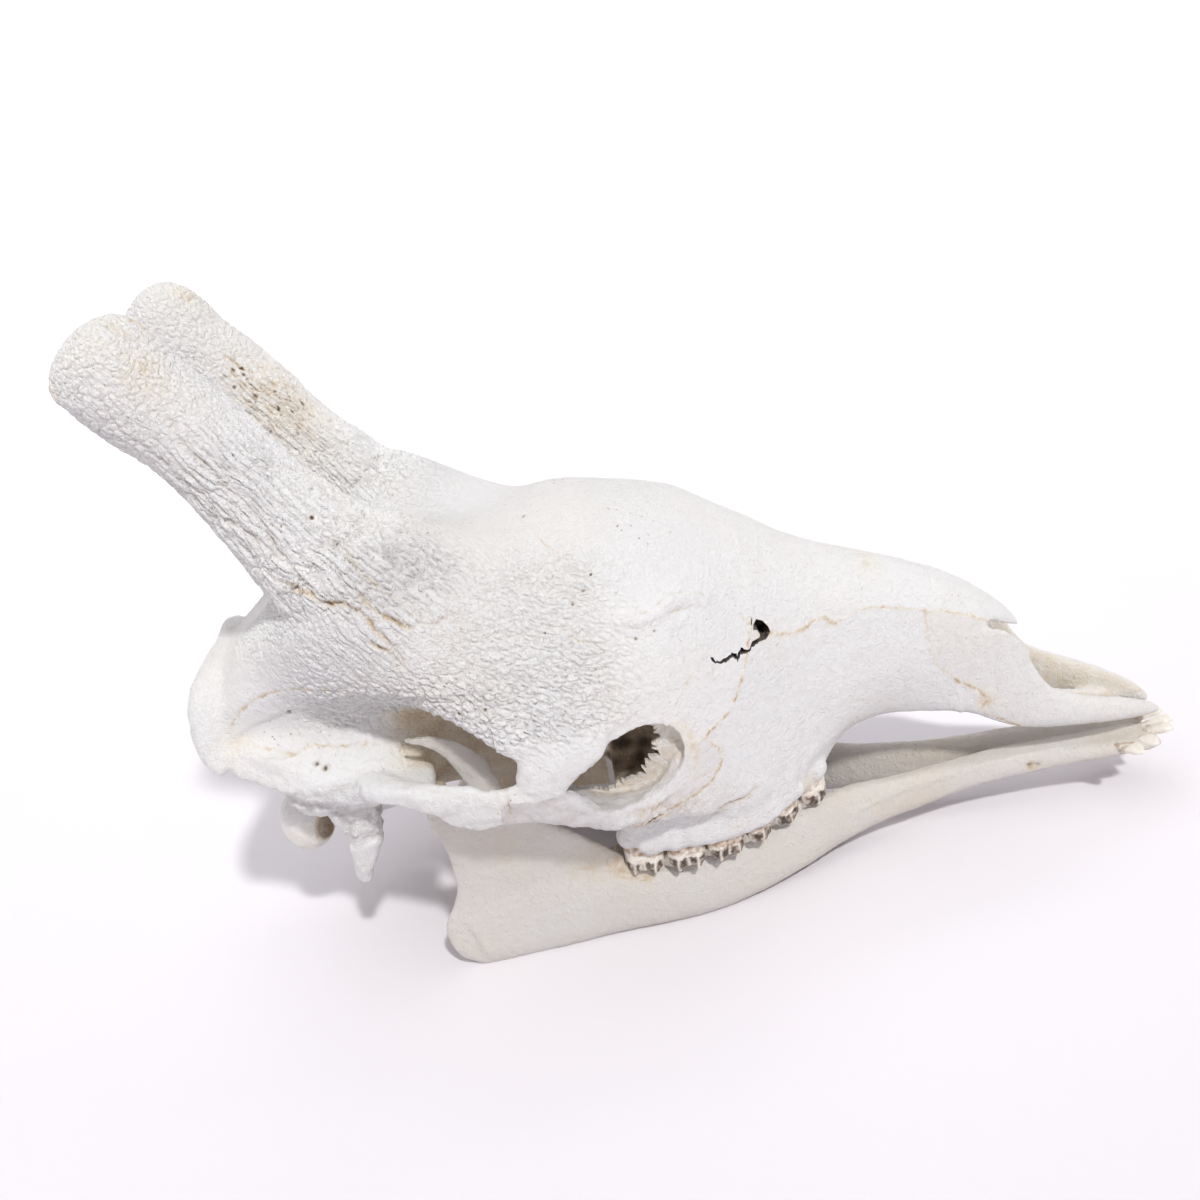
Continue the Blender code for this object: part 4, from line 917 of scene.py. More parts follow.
def add_lines(points, fine, stain):
    """Press the cracks and grooves of LINES into the surface and stain them."""
    for k, (line, width, depth, brown, ragged, twice) in enumerate(LINES + horn_dashes()):
        for side in (1, -1) if twice else (1,):
            places = snapped(points, strewn(np.array(line) * (1, side, 1), ragged, 50 + 7 * k + side))
            if not len(places):
                continue
            chosen, gap, which = near_to(points, places, 3 * width)
            ends = np.sin(math.pi * np.linspace(0.03, 0.97, len(places)))**0.4
            force = ends * np.clip(0.75 + 0.7 * noise(places, 8, 59), 0.25, 1.3)
            fine[chosen] -= depth * (np.exp(-(gap / width)**2) * force[which])
            patchy = np.clip(0.5 + 0.9 * noise(points[chosen], 5, 60), 0.1, 1)
            deepen(stain, brown * patchy * np.exp(-(gap / (0.9 * width))**2) * force[which], chosen)


def add_ridges(points, height):
    """Raise the ridges of RIDGES."""
    for line, width, rise, twice in RIDGES:
        for side in (1, -1) if twice else (1,):
            places = snapped(points, strewn(np.array(line) * (1, side, 1), 0.4, 90))
            if len(places):
                chosen, gap, _ = near_to(points, places, 3 * width)
                height[chosen] += rise * np.exp(-(gap / width)**2)


def add_spots(points, fine, stain, dark):
    """Press the small holes of SPOTS into the surface, dark inside and brown around them."""
    for place, radius, depth, black in SPOTS:
        places = snapped(points, np.array([place], float), 6.0)
        if len(places):
            chosen, gap, _ = near_to(points, places, 3 * radius)
            gap = gap * (1 + 0.25 * noise(points[chosen], 1.5 * radius, 58))
            fine[chosen] -= depth * np.exp(-(gap / radius)**2)
            deepen(dark, black * step_between(gap, 1.0 * radius, 0.5 * radius), chosen)
            deepen(stain, 0.35 * black * np.exp(-(gap / (1.2 * radius))**2), chosen)


def add_tints(points, stain):
    """The soft tints of TINTS."""
    for place, radius, strength, twice in TINTS:
        for side in (1, -1) if twice else (1,):
            chosen, gap, _ = near_to(points, [np.array(place) * (1, side, 1)], 2.2 * radius)
            if len(chosen):
                patchy = 0.6 + 0.6 * noise(points[chosen], 6, 61) + 0.35 * noise(points[chosen], 2.2, 62)
                deepen(stain, strength * np.clip(patchy, 0, 1.3) * np.exp(-(gap / radius)**2), chosen)


def add_hollows(points, stain, dark):
    """Painted shadow inside the orbit, kept off its lit lower rear wall; brown on its ledge, brown and black in the
    occipital condyle's hollow.
    """
    x, y, z = points.T
    aside = np.abs(y)
    oval = ((x - 14) / 42)**2 + ((z - 151) / 34)**2
    # Painted shadow inside the orbit, brown and near black.
    socket = (step_between(oval + 0.12 * noise(points, 6, 63), 1.35, 1.1) * step_between(aside, 86.4, 84)
              * step_between(aside, 24, 34))
    ledge = step_between(oval, 1.25, 1.0) * step_between(aside, 84, 87) * step_between(aside, 101, 96)
    deepen(stain, ledge * np.clip(0.2 + 0.15 * noise(points, 5, 50), 0, 1))
    # The lower rear wall of the orbit, where light falls, is left without painted shadow.
    pale = step_between(x + 5 * noise(points, 9, 64), 6, -2) * step_between(z, 150, 140)
    deepen(stain, socket * (1 - 0.9 * pale) * (0.72 + 0.2 * noise(points, 7, 65)))
    deepen(dark, socket * (1 - pale) * np.clip(0.5 + 0.7 * noise(points, 9, 66), 0.1, 0.85))
    folded = np.column_stack([x, aside, z])
    hollow = np.linalg.norm((folded - CONDYLE_HOLLOW[0]) / CONDYLE_HOLLOW[1], axis=1)
    inside = step_between(x + 3 * noise(points, 5, 68), -200, -190)
    deepen(stain, step_between(hollow, 1.35, 1.0) * (0.4 + 0.55 * inside) * (0.85 + 0.3 * noise(points, 4, 67)))
    deepen(dark, 0.6 * inside * step_between(hollow, 1.15, 0.98))


def add_pits(points, drawn, fine, stain, dark):
    """Patches of brown pits on the inner sides of the horns."""
    along, _ = along_horn(points)
    inner = regions(points)[0] * (np.abs(points[:, 1]) < 52) * (along > 20) * (along < 108)
    pits = within(inner, drawn, pinholes)
    patchy = step_between(noise(points, 22, 70), -0.15, 0.35)
    fine -= 4.0 * pits * patchy
    deepen(stain, np.clip(4.5 * pits * patchy, 0, 0.95))
    deepen(dark, np.clip(3.4 * pits * patchy - 0.25, 0, 0.85))


def add_gum_stain_and_painted_shade(points, normals, stain):
    """Painted warm shade behind the cheek and inside the opening of the nose, and brown stain along the gums."""
    x, y, z = points.T
    aside = np.abs(y)
    # Painted warm shade on the walls behind the cheek, in the temporal fossa.
    inner = (step_between(aside, 84, 66) * step_between(z, 200, 184) * step_between(x, -140, -108) * (x < 0)
             * (z > 95))
    deepen(stain, 0.5 * inner * (1 + 0.5 * noise(points, 12, 72)))
    # Painted warm shade on the walls that face the midline inside the opening of the nose.
    facing = -normals[:, 1] * np.sign(y) * step_between(x, 222, 240) * (z > 68)
    deepen(stain, 0.22 * step_between(facing, 0.1, 0.7) * (1 + 0.6 * noise(points, 8, 73)))
    gum = z - np.interp(x, *zip(*GUM_LINE))
    edge = np.exp(-((gum - 0.5) / 1.7)**2) * (x > -4) * (x < 152) * (aside > 36) * (z > 60)
    deepen(stain, 0.55 * edge * np.clip(0.6 + 0.8 * noise(points, 5, 74), 0, 1))


def painted_shade_amount(points, normals, places):
    """How much painted shade darkens each point: undersides, the arch, the mastoid, the blade below it and the temple,
    against the light that the pale floor throws back.
    """
    x, y, z = points.T
    below = (step_between(z, 178, 148) * step_between(np.abs(y), 88, 104) * step_between(x, 26, -14)
             * step_between(z, 112, 122))
    return np.max([0.75 * step_between(normals[:, 2], 0.05, -0.75), 0.65 * below, 0.75 * places["mastoid"],
                   0.75 * places["blade"], 0.3 * places["temple"]], axis=0)


def sculpt(points, normals):
    """Height to add along the normal, brown stain, darkness, roughness, depth and painted shade at each point."""
    horn, _, _, brow, boss, saddle = regions(points)
    places = worked_places(points)
    drawn, bend, warp = horn_grain(points)
    height = 0.30 * noise(points, 26, 1) + 0.16 * noise(points, 11, 2)
    fine = leather(points, drawn, bend, warp)
    crazed = add_wear(points, places, warp, height, fine)
    stain = np.clip(0.5 * crazed * np.clip(0.5 + noise(points, 6, 49), 0, 1), 0, 0.5)
    dark = np.zeros(len(points))
    add_lines(points, fine, stain)
    add_ridges(points, height)
    add_spots(points, fine, stain, dark)
    add_tints(points, stain)
    add_hollows(points, stain, dark)
    add_pits(points, drawn, fine, stain, dark)
    add_gum_stain_and_painted_shade(points, normals, stain)
    deep = np.clip(0.5 - fine, 0, 1.2)
    rough = np.clip(horn + brow + 0.7 * boss + 0.8 * saddle + 0.8 * places["lumps"] + places["shelf"]
                    + places["mastoid"] + 0.5 * places["arch"], 0, 1)
    return height + fine, np.clip(stain, 0, 1), np.clip(dark, 0, 1), rough, deep, painted_shade_amount(points, normals, places)


def joined(count, edges):
    """The lowest vertex number of each vertex's connected surface."""
    label = np.arange(count)
    while True:
        first = label[edges[:, 0]]
        second = label[edges[:, 1]]
        low = np.minimum(first, second)
        high = np.maximum(first, second)
        if (low == high).all():
            return label
        np.minimum.at(label, high, low)
        while True:
            jumped = label[label]
            if (jumped == label).all():
                break
            label = jumped


def read(mesh, kind, field, width=1, dtype=np.int32):
    """One field of all vertices, edges, loops or polygons of a mesh."""
    items = getattr(mesh, kind)
    values = np.zeros(len(items) * width, dtype)
    items.foreach_get(field, values)
    return values.reshape(-1, width) if width > 1 else values


def points_of(mesh):
    """The vertices of a mesh in the skull frame."""
    return read(mesh, "vertices", "co", 3, np.float32).astype(float) / MM - ORIGIN


def islands(thing, least=300):
    """The separate closed surfaces of an object: points in the skull frame, faces and their materials."""
    mesh = thing.data
    points = points_of(mesh)
    edges = read(mesh, "edges", "vertices", 2)
    starts = read(mesh, "polygons", "loop_start")
    totals = read(mesh, "polygons", "loop_total")
    slots = read(mesh, "polygons", "material_index")
    corners = read(mesh, "loops", "vertex_index")
    label = joined(len(points), edges)
    face_label = label[corners[starts]]
    found = []
    names, sizes = np.unique(label, return_counts=True)
    for name in names[sizes >= least]:
        inside = np.nonzero(label == name)[0]
        order = np.full(len(points), -1)
        order[inside] = np.arange(len(inside))
        chosen = np.nonzero(face_label == name)[0]
        loops = np.repeat(starts[chosen], totals[chosen])
        offsets = np.arange(len(loops)) - np.repeat(np.cumsum(totals[chosen]) - totals[chosen], totals[chosen])
        found.append({"points": points[inside], "corners": order[corners[loops + offsets]],
                      "totals": totals[chosen], "slots": slots[chosen]})
    found.sort(key=lambda body: -len(body["points"]))
    return found


def nearest_bone(bones, landmark):
    """The bone with the point nearest to a landmark."""
    return min(bones, key=lambda bone: np.linalg.norm(bone["points"] - landmark, axis=1).min())


def corner_ring(totals):
    """For faces with these numbers of corners: each one's first corner, and each corner's face and next corner."""
    starts = np.cumsum(totals) - totals
    face = np.repeat(np.arange(len(totals)), totals)
    after = np.arange(len(face)) + 1
    after[starts + totals - 1] = starts
    return starts, face, after


def face_middles(points, corners, totals):
    """The mean of each face's corners."""
    return np.add.reduceat(points[corners], np.cumsum(totals) - totals, axis=0) / totals[:, None]


def refined(body, mask):
    """The surface with every face whose corners all lie in the mask split around its middle."""
    points, corners, totals = body["points"], body["corners"], body["totals"]
    starts, face, after = corner_ring(totals)
    before = np.empty_like(after)
    before[after] = np.arange(len(corners))
    ends = np.sort(np.column_stack([corners, corners[after]]), axis=1).astype(np.int64)
    edges, edge_of = np.unique(ends[:, 0] * len(points) + ends[:, 1], return_inverse=True)
    chosen = np.minimum.reduceat(mask[corners].astype(np.int64), starts) > 0
    split = np.zeros(len(edges), bool)
    split[edge_of[chosen[face]]] = True
    middles = (points[edges[split] // len(points)] + points[edges[split] % len(points)]) / 2
    centres = face_middles(points, corners, totals)[chosen]
    middle_of = np.cumsum(split) - 1 + len(points)
    centre_of = np.cumsum(chosen) - 1 + len(points) + len(middles)
    inner = np.nonzero(chosen[face])[0]
    quads = np.column_stack([corners[inner], middle_of[edge_of[inner]], centre_of[face[inner]],
                             middle_of[edge_of[before[inner]]]])
    outer = np.nonzero(~chosen[face])[0]
    added = split[edge_of[outer]]
    rest = np.repeat(corners[outer], 1 + added)
    rest[(np.cumsum(1 + added) - 1)[added]] = middle_of[edge_of[outer[added]]]
    rest_totals = (totals + np.add.reduceat(split[edge_of].astype(np.int64), starts))[~chosen]
    return {"points": np.vstack([points, middles, centres]),
            "corners": np.concatenate([quads.ravel(), rest]),
            "totals": np.concatenate([np.full(len(quads), 4), rest_totals]),
            "slots": np.concatenate([body["slots"][face[inner]], body["slots"][~chosen]])}


def area_sums(body, *masks):
    """Sum of the area vectors of the faces around each point, for each mask of faces."""
    points, corners, totals = body["points"], body["corners"], body["totals"]
    _, face, after = corner_ring(totals)
    area = np.zeros((len(totals), 3))
    np.add.at(area, face, np.cross(points[corners], points[corners[after]]))
    sums = []
    for mask in masks:
        total = np.zeros_like(points)
        np.add.at(total, corners, (area * mask[:, None])[face])
        sums.append(total)
    return sums


def directions(body):
    """Outward directions at each point: of the skin, and of the cuts where the point lies on one."""
    cut = body["slots"] > 0
    skin, cuts, every = area_sums(body, ~cut, cut, np.ones(len(cut), bool))
    bare = np.linalg.norm(skin, axis=1) < 1e-9
    skin[bare] = every[bare]
    return [side / np.maximum(np.linalg.norm(side, axis=1), 1e-9)[:, None] for side in (skin, cuts)]


def mesh_of(name, points, corners, totals):
    """A mesh of points in the skull frame and faces told by their corners."""
    mesh = bpy.data.meshes.new(name)
    mesh.vertices.add(len(points))
    mesh.loops.add(len(corners))
    mesh.polygons.add(len(totals))
    mesh.vertices.foreach_set("co", ((points + ORIGIN) * MM).astype(np.float32).ravel())
    mesh.loops.foreach_set("vertex_index", corners.astype(np.int32))
    mesh.polygons.foreach_set("loop_start", (np.cumsum(totals) - totals).astype(np.int32))
    mesh.update(calc_edges=True)
    return mesh


def mark(mesh, stain, dark, rough=0.0, deep=0.0, tone_and_painted_shade=0.0):
    """Store the marks of each point where the materials read them."""
    layer = mesh.attributes.new("marks", "FLOAT_COLOR", "POINT")
    marks = np.column_stack(np.broadcast_arrays(stain, dark, rough, deep))
    layer.data.foreach_set("color", marks.astype(np.float32).ravel())
    layer = mesh.attributes.new("tone_and_painted_shade", "FLOAT", "POINT")
    layer.data.foreach_set("value", np.broadcast_to(tone_and_painted_shade, len(stain)).astype(np.float32))


def seam_stain(points):
    """Brown along the sutures, where dust and grease settle."""
    flat = points * (1, 0, 1)
    aside = np.abs(points[:, 1])
    stain = np.zeros(len(points))
    for line, low, high, strength, reach in (
            (FACE_SUTURE[1:11], 0, FACE_REACH, 1.0, 0.9),
            (NASAL_SUTURE[:6], 0, NASAL_REACH, 0.85, 1.3),
            (NASAL_SUTURE[5:11], 0, NASAL_REACH, 0.6, 0.8),
            (PREMAXILLA_SUTURE[:4], 0, PREMAXILLA_REACH, 0.5, 0.7),
            (PREMAXILLA_SUTURE[3:], 0, PREMAXILLA_REACH, 1.0, 1.0),
            (CHEEK_SUTURE[:2], CHEEK_DEPTH, FACE_REACH, 0.3, 0.8),
            (CHEEK_SUTURE[3:], CHEEK_DEPTH, FACE_REACH, 0.45, 0.8)):
        path, _ = jagged(line, 1.1, SEED, 1.3)
        places = np.column_stack([path[:, 0], np.zeros(len(path)), path[:, 1]])
        chosen, gap, _ = near_to(flat, places, 3 * reach)
        fits = (aside[chosen] >= low) & (aside[chosen] <= high)
        patchy = np.clip(0.62 + 0.9 * noise(points[chosen], 7, 70) + 0.6 * noise(points[chosen], 2, 71), 0.1, 1.2)
        deepen(stain, strength * patchy * np.exp(-(gap / reach)**2) * fits, chosen)
    return stain


def finish_piece(thing, node, slot, look):
    """Give a piece its look and body, and hide the CAD node that it stands for; its slot is not used."""
    thing.data.materials.clear()
    thing.data.materials.append(look)
    thing.data.shade_smooth()
    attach(thing, "root")
    if node:
        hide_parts(node)


def bone_piece(node, body, slot):
    """One fine bone that stands for its CAD node."""
    body = refined(body, coarse_skin(body["points"]))
    points = body["points"]
    normals, push = directions(body)
    height, stain, dark, rough, deep, tone_and_painted_shade = sculpt(points, normals)
    # The cranium's own tone darkens away from the horns, more on the saddle and boss, on top of the painted shade.
    if node == "cranium":
        horn, _, _, _, boss, saddle = regions(points)
        tone_and_painted_shade = np.maximum(tone_and_painted_shade, CRANIUM_SHADE * (1 - horn) + SADDLE_SHADE * saddle + BOSS_SHADE * boss)
    seams = seam_stain(points) if not node.startswith("mandible") else 0
    stain = np.maximum(stain, seams)
    moved = points + normals * height[:, None] + push * SEAM_CLOSING
    if node.startswith("mandible"):
        x, y, z = points.T
        moved[:, 2] -= (JAW_EDGE_DROP * step_between(z, 28, 46) * step_between(z, 60, 50) * step_between(x, 2, 14)
                        * step_between(x, 104, 84) * step_between(np.abs(y), 58, 66))
    moved[:, 2] = np.maximum(moved[:, 2], FLOOR_TRIM)
    name = "fine_" + node
    middle = face_middles(points, body["corners"], body["totals"])
    # The walls of the gap beside each nasal get a near-black painted shade.
    crevice_painted_shade = (body["slots"] > 0) & ((middle > GAP_BOX[0]) & (middle < GAP_BOX[1])).all(axis=1)
    crevice_painted_shade &= np.abs(middle[:, 1]) > GAP_WALLS
    mesh = mesh_of(name, moved, body["corners"], body["totals"])
    mark(mesh, stain, dark, rough, deep, tone_and_painted_shade)
    finish_piece(placed(name, mesh), node, slot, LOOKS[slot])
    if crevice_painted_shade.any():
        mesh.materials.append(LOOKS["crevice_painted_shade"])
        mesh.polygons.foreach_set("material_index", crevice_painted_shade.astype(np.int32))
    mesh.set_sharp_from_angle(angle=math.radians(SHARP_EDGE))


def gum_bulges():
    """Swellings of the upper jaw over the roots of the cheek teeth, down to the scalloped gum line."""
    bodies = []
    for k, (rear, front, outer_rear, outer_front) in enumerate(UPPER_TEETH):
        lobes = 2 if k < 3 else 1
        for lobe in range(lobes):
            share = (lobe + 0.5) / lobes
            x = rear + (front - rear) * share - (3 if k == 5 else 0)
            y = outer_rear + (outer_front - outer_rear) * share - 5.0
            low = np.interp(x, *zip(*GUM_LINE))
            bodies.append(ellipsoid((x, y, low + 10.5), ((front - rear) / lobes * 0.56, 7.0, 10.5), 28))
    return bodies


def orbit_ledge():
    """Thin shelf inside the lower rim of the orbit, and the break that gives it its ragged edge."""
    inner = [(x - 4, z + 4) for x, z in ORBIT_BREAK]
    edge, _ = jagged(ORBIT_BREAK, 4.5, SEED + 2, 1.3)
    break_line = np.vstack([edge, [(-34, 140), (-20, 158), (-4, 172), (8, 186)]])
    return prism(inner + ORBIT_LEDGE, *LEDGE_DEPTH), prism(break_line, LEDGE_DEPTH[0] - 8, LEDGE_DEPTH[1] + 1.5)


def build_upper():
    """Cranium, face and horn bones as one fused skin."""
    bodies = [profile_loft(CRANIUM, 2.5, 8), profile_loft(FACE, 2.5, 8)]
    bodies += [bar(leaning(OSSICONE, LEFT_HORN_LEAN)), mirrored(bar(OSSICONE))]
    crest = [(x + CREST_FLANK, y, z, half + CREST_FLANK, tall) for x, y, z, half, tall in NUCHAL_CREST]
    bodies += both_sides(bar(crest, across=(1, 0, 0)), bar(TEMPLE_CREST))
    skin = new_object("skin", bodies)
    skin.data.materials.append(SKIN)
    fuse(skin, 10)
    openings = both_sides(bar(ORBIT, across=ORBIT_TILT), ellipsoid(*OCCIPUT_HOLLOW))
    openings += [tunnel(NASAL_CAVITY), tunnel(CHOANA), tunnel(FORAMEN_MAGNUM)]
    carve(skin, openings)
    bodies = [profile_loft(NASAL_TIPS, 2.0, 8)]
    bodies += [bar(bowed(PREMAXILLA, LEFT_PREMAXILLA_RISE)), mirrored(bar(PREMAXILLA))]
    bodies += both_sides(
        bar(ZYGOMATIC_ARCH),
        bar(POSTORBITAL_BAR, across=(1, 0, 0), squareness=3),
        bar(GLENOID_PLATE, across=(1, 0, 0), squareness=3),
        bar(PAROCCIPITAL, across=(1, 0, 0)),
        bar(PTERYGOID),
        bar(ORBIT_FLOOR, squareness=3),
        bar(PALATINE_PROCESS),
        ellipsoid(*OCCIPITAL_CONDYLE),
        ellipsoid(*BULLA),
        ellipsoid(*MASTOID),
        *gum_bulges(),
        orbit_ledge()[0],
    )
    add_bodies(skin, bodies)
    skin.data.materials.clear()
    skin.data.materials.append(SKIN)
    fuse(skin, 4)
    carve(skin, both_sides(ellipsoid(*CONDYLE_HOLLOW), orbit_ledge()[1]))
    return skin


def build_jaw():
    """Both halves of the lower jaw as one fused skin, flat where it rests."""
    bodies = both_sides(
        bar(JAW_BODY, squareness=2.6),
        upright_plate(JAW_RAMUS),
        bar(JAW_NECK, across=(1, 0, 0)),
        bar(JAW_CONDYLE, across=(1, 0, 0)),
        bar(CORONOID, across=(1, 0, 0)),
    )
    jaw = new_object("jaw", bodies)
    jaw.data.materials.append(SKIN)
    fuse(jaw, 5)
    carve(jaw, [prism([(-400, -60), (500, -60), (500, FLOOR_TRIM), (-400, FLOOR_TRIM)], -200, 200)])
    carve(jaw, [prism([(240, -10), (420, -10), (420, 90), (240, 90)], -SEAM / 2, SEAM / 2)])
    carve(jaw, both_sides(*[tooth_room(k) for k in range(len(UPPER_TEETH))]))
    return jaw


def part_bones(skin):
    """Part the fused skull along its ragged sutures."""
    crack, _ = jagged(GAP_CRACK, 1.5, SEED + 3, 1.1)
    for side in (1, -1):
        carve(skin, [prism(GAP_HOLE, *sorted((side * GAP_HOLE_DEPTH, side * GAP_OUTSIDE)))])
        carve(skin, [prism(crack, *sorted((side * GAP_CRACK_DEPTH, side * GAP_OUTSIDE)))])
    carve(skin, [saw(FACE_SUTURE[:2] + [FACE_SUTURE_TURN], -FACE_REACH, FACE_REACH, size=0.8)])
    carve(skin, [saw(FACE_SUTURE[1:], -FACE_REACH, FACE_REACH)])
    face_plane = [(x - SEAM_OVERLAP, z + SEAM_OVERLAP) for x, z in FACE_SUTURE]
    face_plane += [(-10, 20), (420, 20), (420, 343)]
    carve(skin, [prism(face_plane, -SEAM / 2, SEAM / 2)])
    carve(skin, [saw(NASAL_SUTURE, -NASAL_REACH, NASAL_REACH)])
    carve(skin, [saw(PREMAXILLA_SUTURE, -PREMAXILLA_REACH, PREMAXILLA_REACH, gap=PREMAXILLA_SEAM)])
    for side in (-1, 1):
        carve(skin, [horn_saw(side)])
        carve(skin, [saw(CHEEK_SUTURE, *sorted((side * CHEEK_DEPTH, side * FACE_REACH)))])
        wall = sorted((side * (CHEEK_DEPTH - SEAM / 2), side * (CHEEK_DEPTH + SEAM / 2)))
        carve(skin, [prism(CHEEK_WALL, *wall)])
    return islands(skin)


def bite_plane(y):
    """Height of the bite at a distance from the midline."""
    return BITE_HEIGHT + BITE_SLOPE * (np.abs(y) - BITE_MIDDLE)


def tooth_frame(row, width):
    """Centre, forward and outward directions, and length of a cheek tooth seen from above."""
    rear, front, outer_rear, outer_front = row
    long = np.array([front - rear, outer_front - outer_rear])
    length = np.linalg.norm(long)
    forward = long / length
    outward = np.array([-forward[1], forward[0]])
    centre = np.array([(rear + front) / 2, (outer_rear + outer_front) / 2]) - outward * width / 2
    return centre, forward, outward, length


def tooth_room(k, around=28):
    """Room that an upper cheek tooth needs in the jaw below it."""
    width = UPPER_TOOTH_WIDTH * (1 if k < 3 else PREMOLAR_WIDTH)
    rear, front, outer_rear, outer_front = UPPER_TEETH[k]
    centre, forward, outward, length = tooth_frame((rear + 0.4, front - 0.4, outer_rear, outer_front), width)
    u, v = superellipse(around, 0.55)
    rings = []
    for depth, spread in ((0.0, 0.90), (1.0, 1.0)):
        ring = centre + np.outer(u * (length / 2 + TOOTH_ROOM) * spread, forward)
        ring = ring + np.outer(v * (width / 2 + TOOTH_ROOM) * spread, outward)
        bite = bite_plane(ring[:, 1]) - TOOTH_ROOM + BITE_CLEARANCE / 2
        z = 88 + (bite - 88) * depth
        rings.append(np.column_stack([ring, z]))
    return loft(rings)


def cheek_tooth(row, width, root, direction, lobes, seed, hang=0.0):
    """Crown with ribbed outer lobes, a waist at the gum and worn, notched cusps."""
    centre, forward, outward, length = tooth_frame(row, width)
    u, v = superellipse(96, 0.6)
    phase = (u + 1) / 2 * lobes
    lobe = 0.5 - 0.5 * np.cos(2 * math.pi * phase)
    rib = np.abs(np.sin(math.pi * phase * 2))**3
    luck = np.random.default_rng(seed)
    shift = luck.uniform(-0.4, 0.4, 4)
    rings = []
    levels = ((0.0, 0.78), (0.25, 0.82), (0.5, 0.88), (0.7, 0.93), (0.85, 0.985), (0.95, 0.975), (1.0, 0.93))
    for depth, spread in levels:
        bulge = 1 - 0.17 * (1 - lobe) * (0.4 + 0.6 * depth) + 0.035 * rib * depth
        ring = centre + np.outer(u * length / 2 * (0.5 + 0.5 * spread), forward)
        ring = ring + np.outer(v * width / 2 * spread * bulge, outward)
        bite = bite_plane(ring[:, 1]) - direction * BITE_CLEARANCE / 2
        notch = (1.1 + shift[0]) * (1 - lobe) + 0.5 * (1 - np.abs(np.cos(math.pi * phase * 2)))
        bite = bite - direction * notch * depth
        point = np.abs(np.cos(math.pi * phase))**3
        reach = 0.45 + 0.55 * np.maximum(lobe**2, point)
        bite = bite + direction * hang * step_between(v, 0.3, 0.9) * depth * reach
        z = root + (bite - root) * depth
        rings.append(np.column_stack([ring, z]))
    for spread, dish in ((0.72, 0.5), (0.5, 1.6), (0.22, 1.0)):
        ring = centre + np.outer(u * length / 2 * spread, forward)
        ring = ring + np.outer(v * width / 2 * spread, outward)
        z = bite_plane(ring[:, 1]) - direction * (BITE_CLEARANCE / 2 + dish * (0.4 + 0.6 * lobe))
        rings.append(np.column_stack([ring, z]))
    return loft(rings)


def front_tooth(root_y, crown_y, half, reach, rise, seed):
    """Incisor or canine of the +Y side: slim root, spoon-shaped crown with a chipped edge."""
    luck = np.random.default_rng(seed)
    chip = luck.uniform(-0.8, 0.4)
    spread = crown_y - root_y
    rows = [
        (reach - 34, root_y, 43.5, 2.4, 2.4),
        (reach - 24, root_y + 0.2 * spread, 44.8 + 0.1 * rise, 2.6, 2.5),
        (reach - 16, root_y + 0.42 * spread, 45.6 + 0.3 * rise, 2.9, 2.7),
        (reach - 10, root_y + 0.68 * spread, 46.2 + 0.55 * rise, half * 0.72, 2.9),
        (reach - 4, root_y + 0.9 * spread, 46.6 + 0.85 * rise, half * 0.98, 2.6),
        (reach + chip, crown_y, 46.8 + rise, half * 0.8, 1.4),
    ]
    return bar(rows, step=1.2, around=36)


def teeth_piece(name, bodies, slot, marks_of):
    """Several teeth as one piece, remeshed finely, with stain near the gum, the bite and in grooves."""
    thing = new_object(name, bodies)
    melt(thing, TOOTH_FINE, 3)
    mesh = thing.data
    points = points_of(mesh)
    normals = np.array([tuple(n.vector) for n in mesh.vertex_normals])
    rise = 0.14 * noise(points, 2.2, 81) + 0.10 * noise(points, 1.2, 82) + 0.2 * noise(points, 5, 83)
    points = points + normals * rise[:, None]
    mesh.vertices.foreach_set("co", ((points + ORIGIN) * MM).astype(np.float32).ravel())
    stain, dark = marks_of(points)
    mark(mesh, np.clip(stain, 0, 1), np.clip(dark, 0, 1))
    finish_piece(thing, None, slot, ENAMEL)


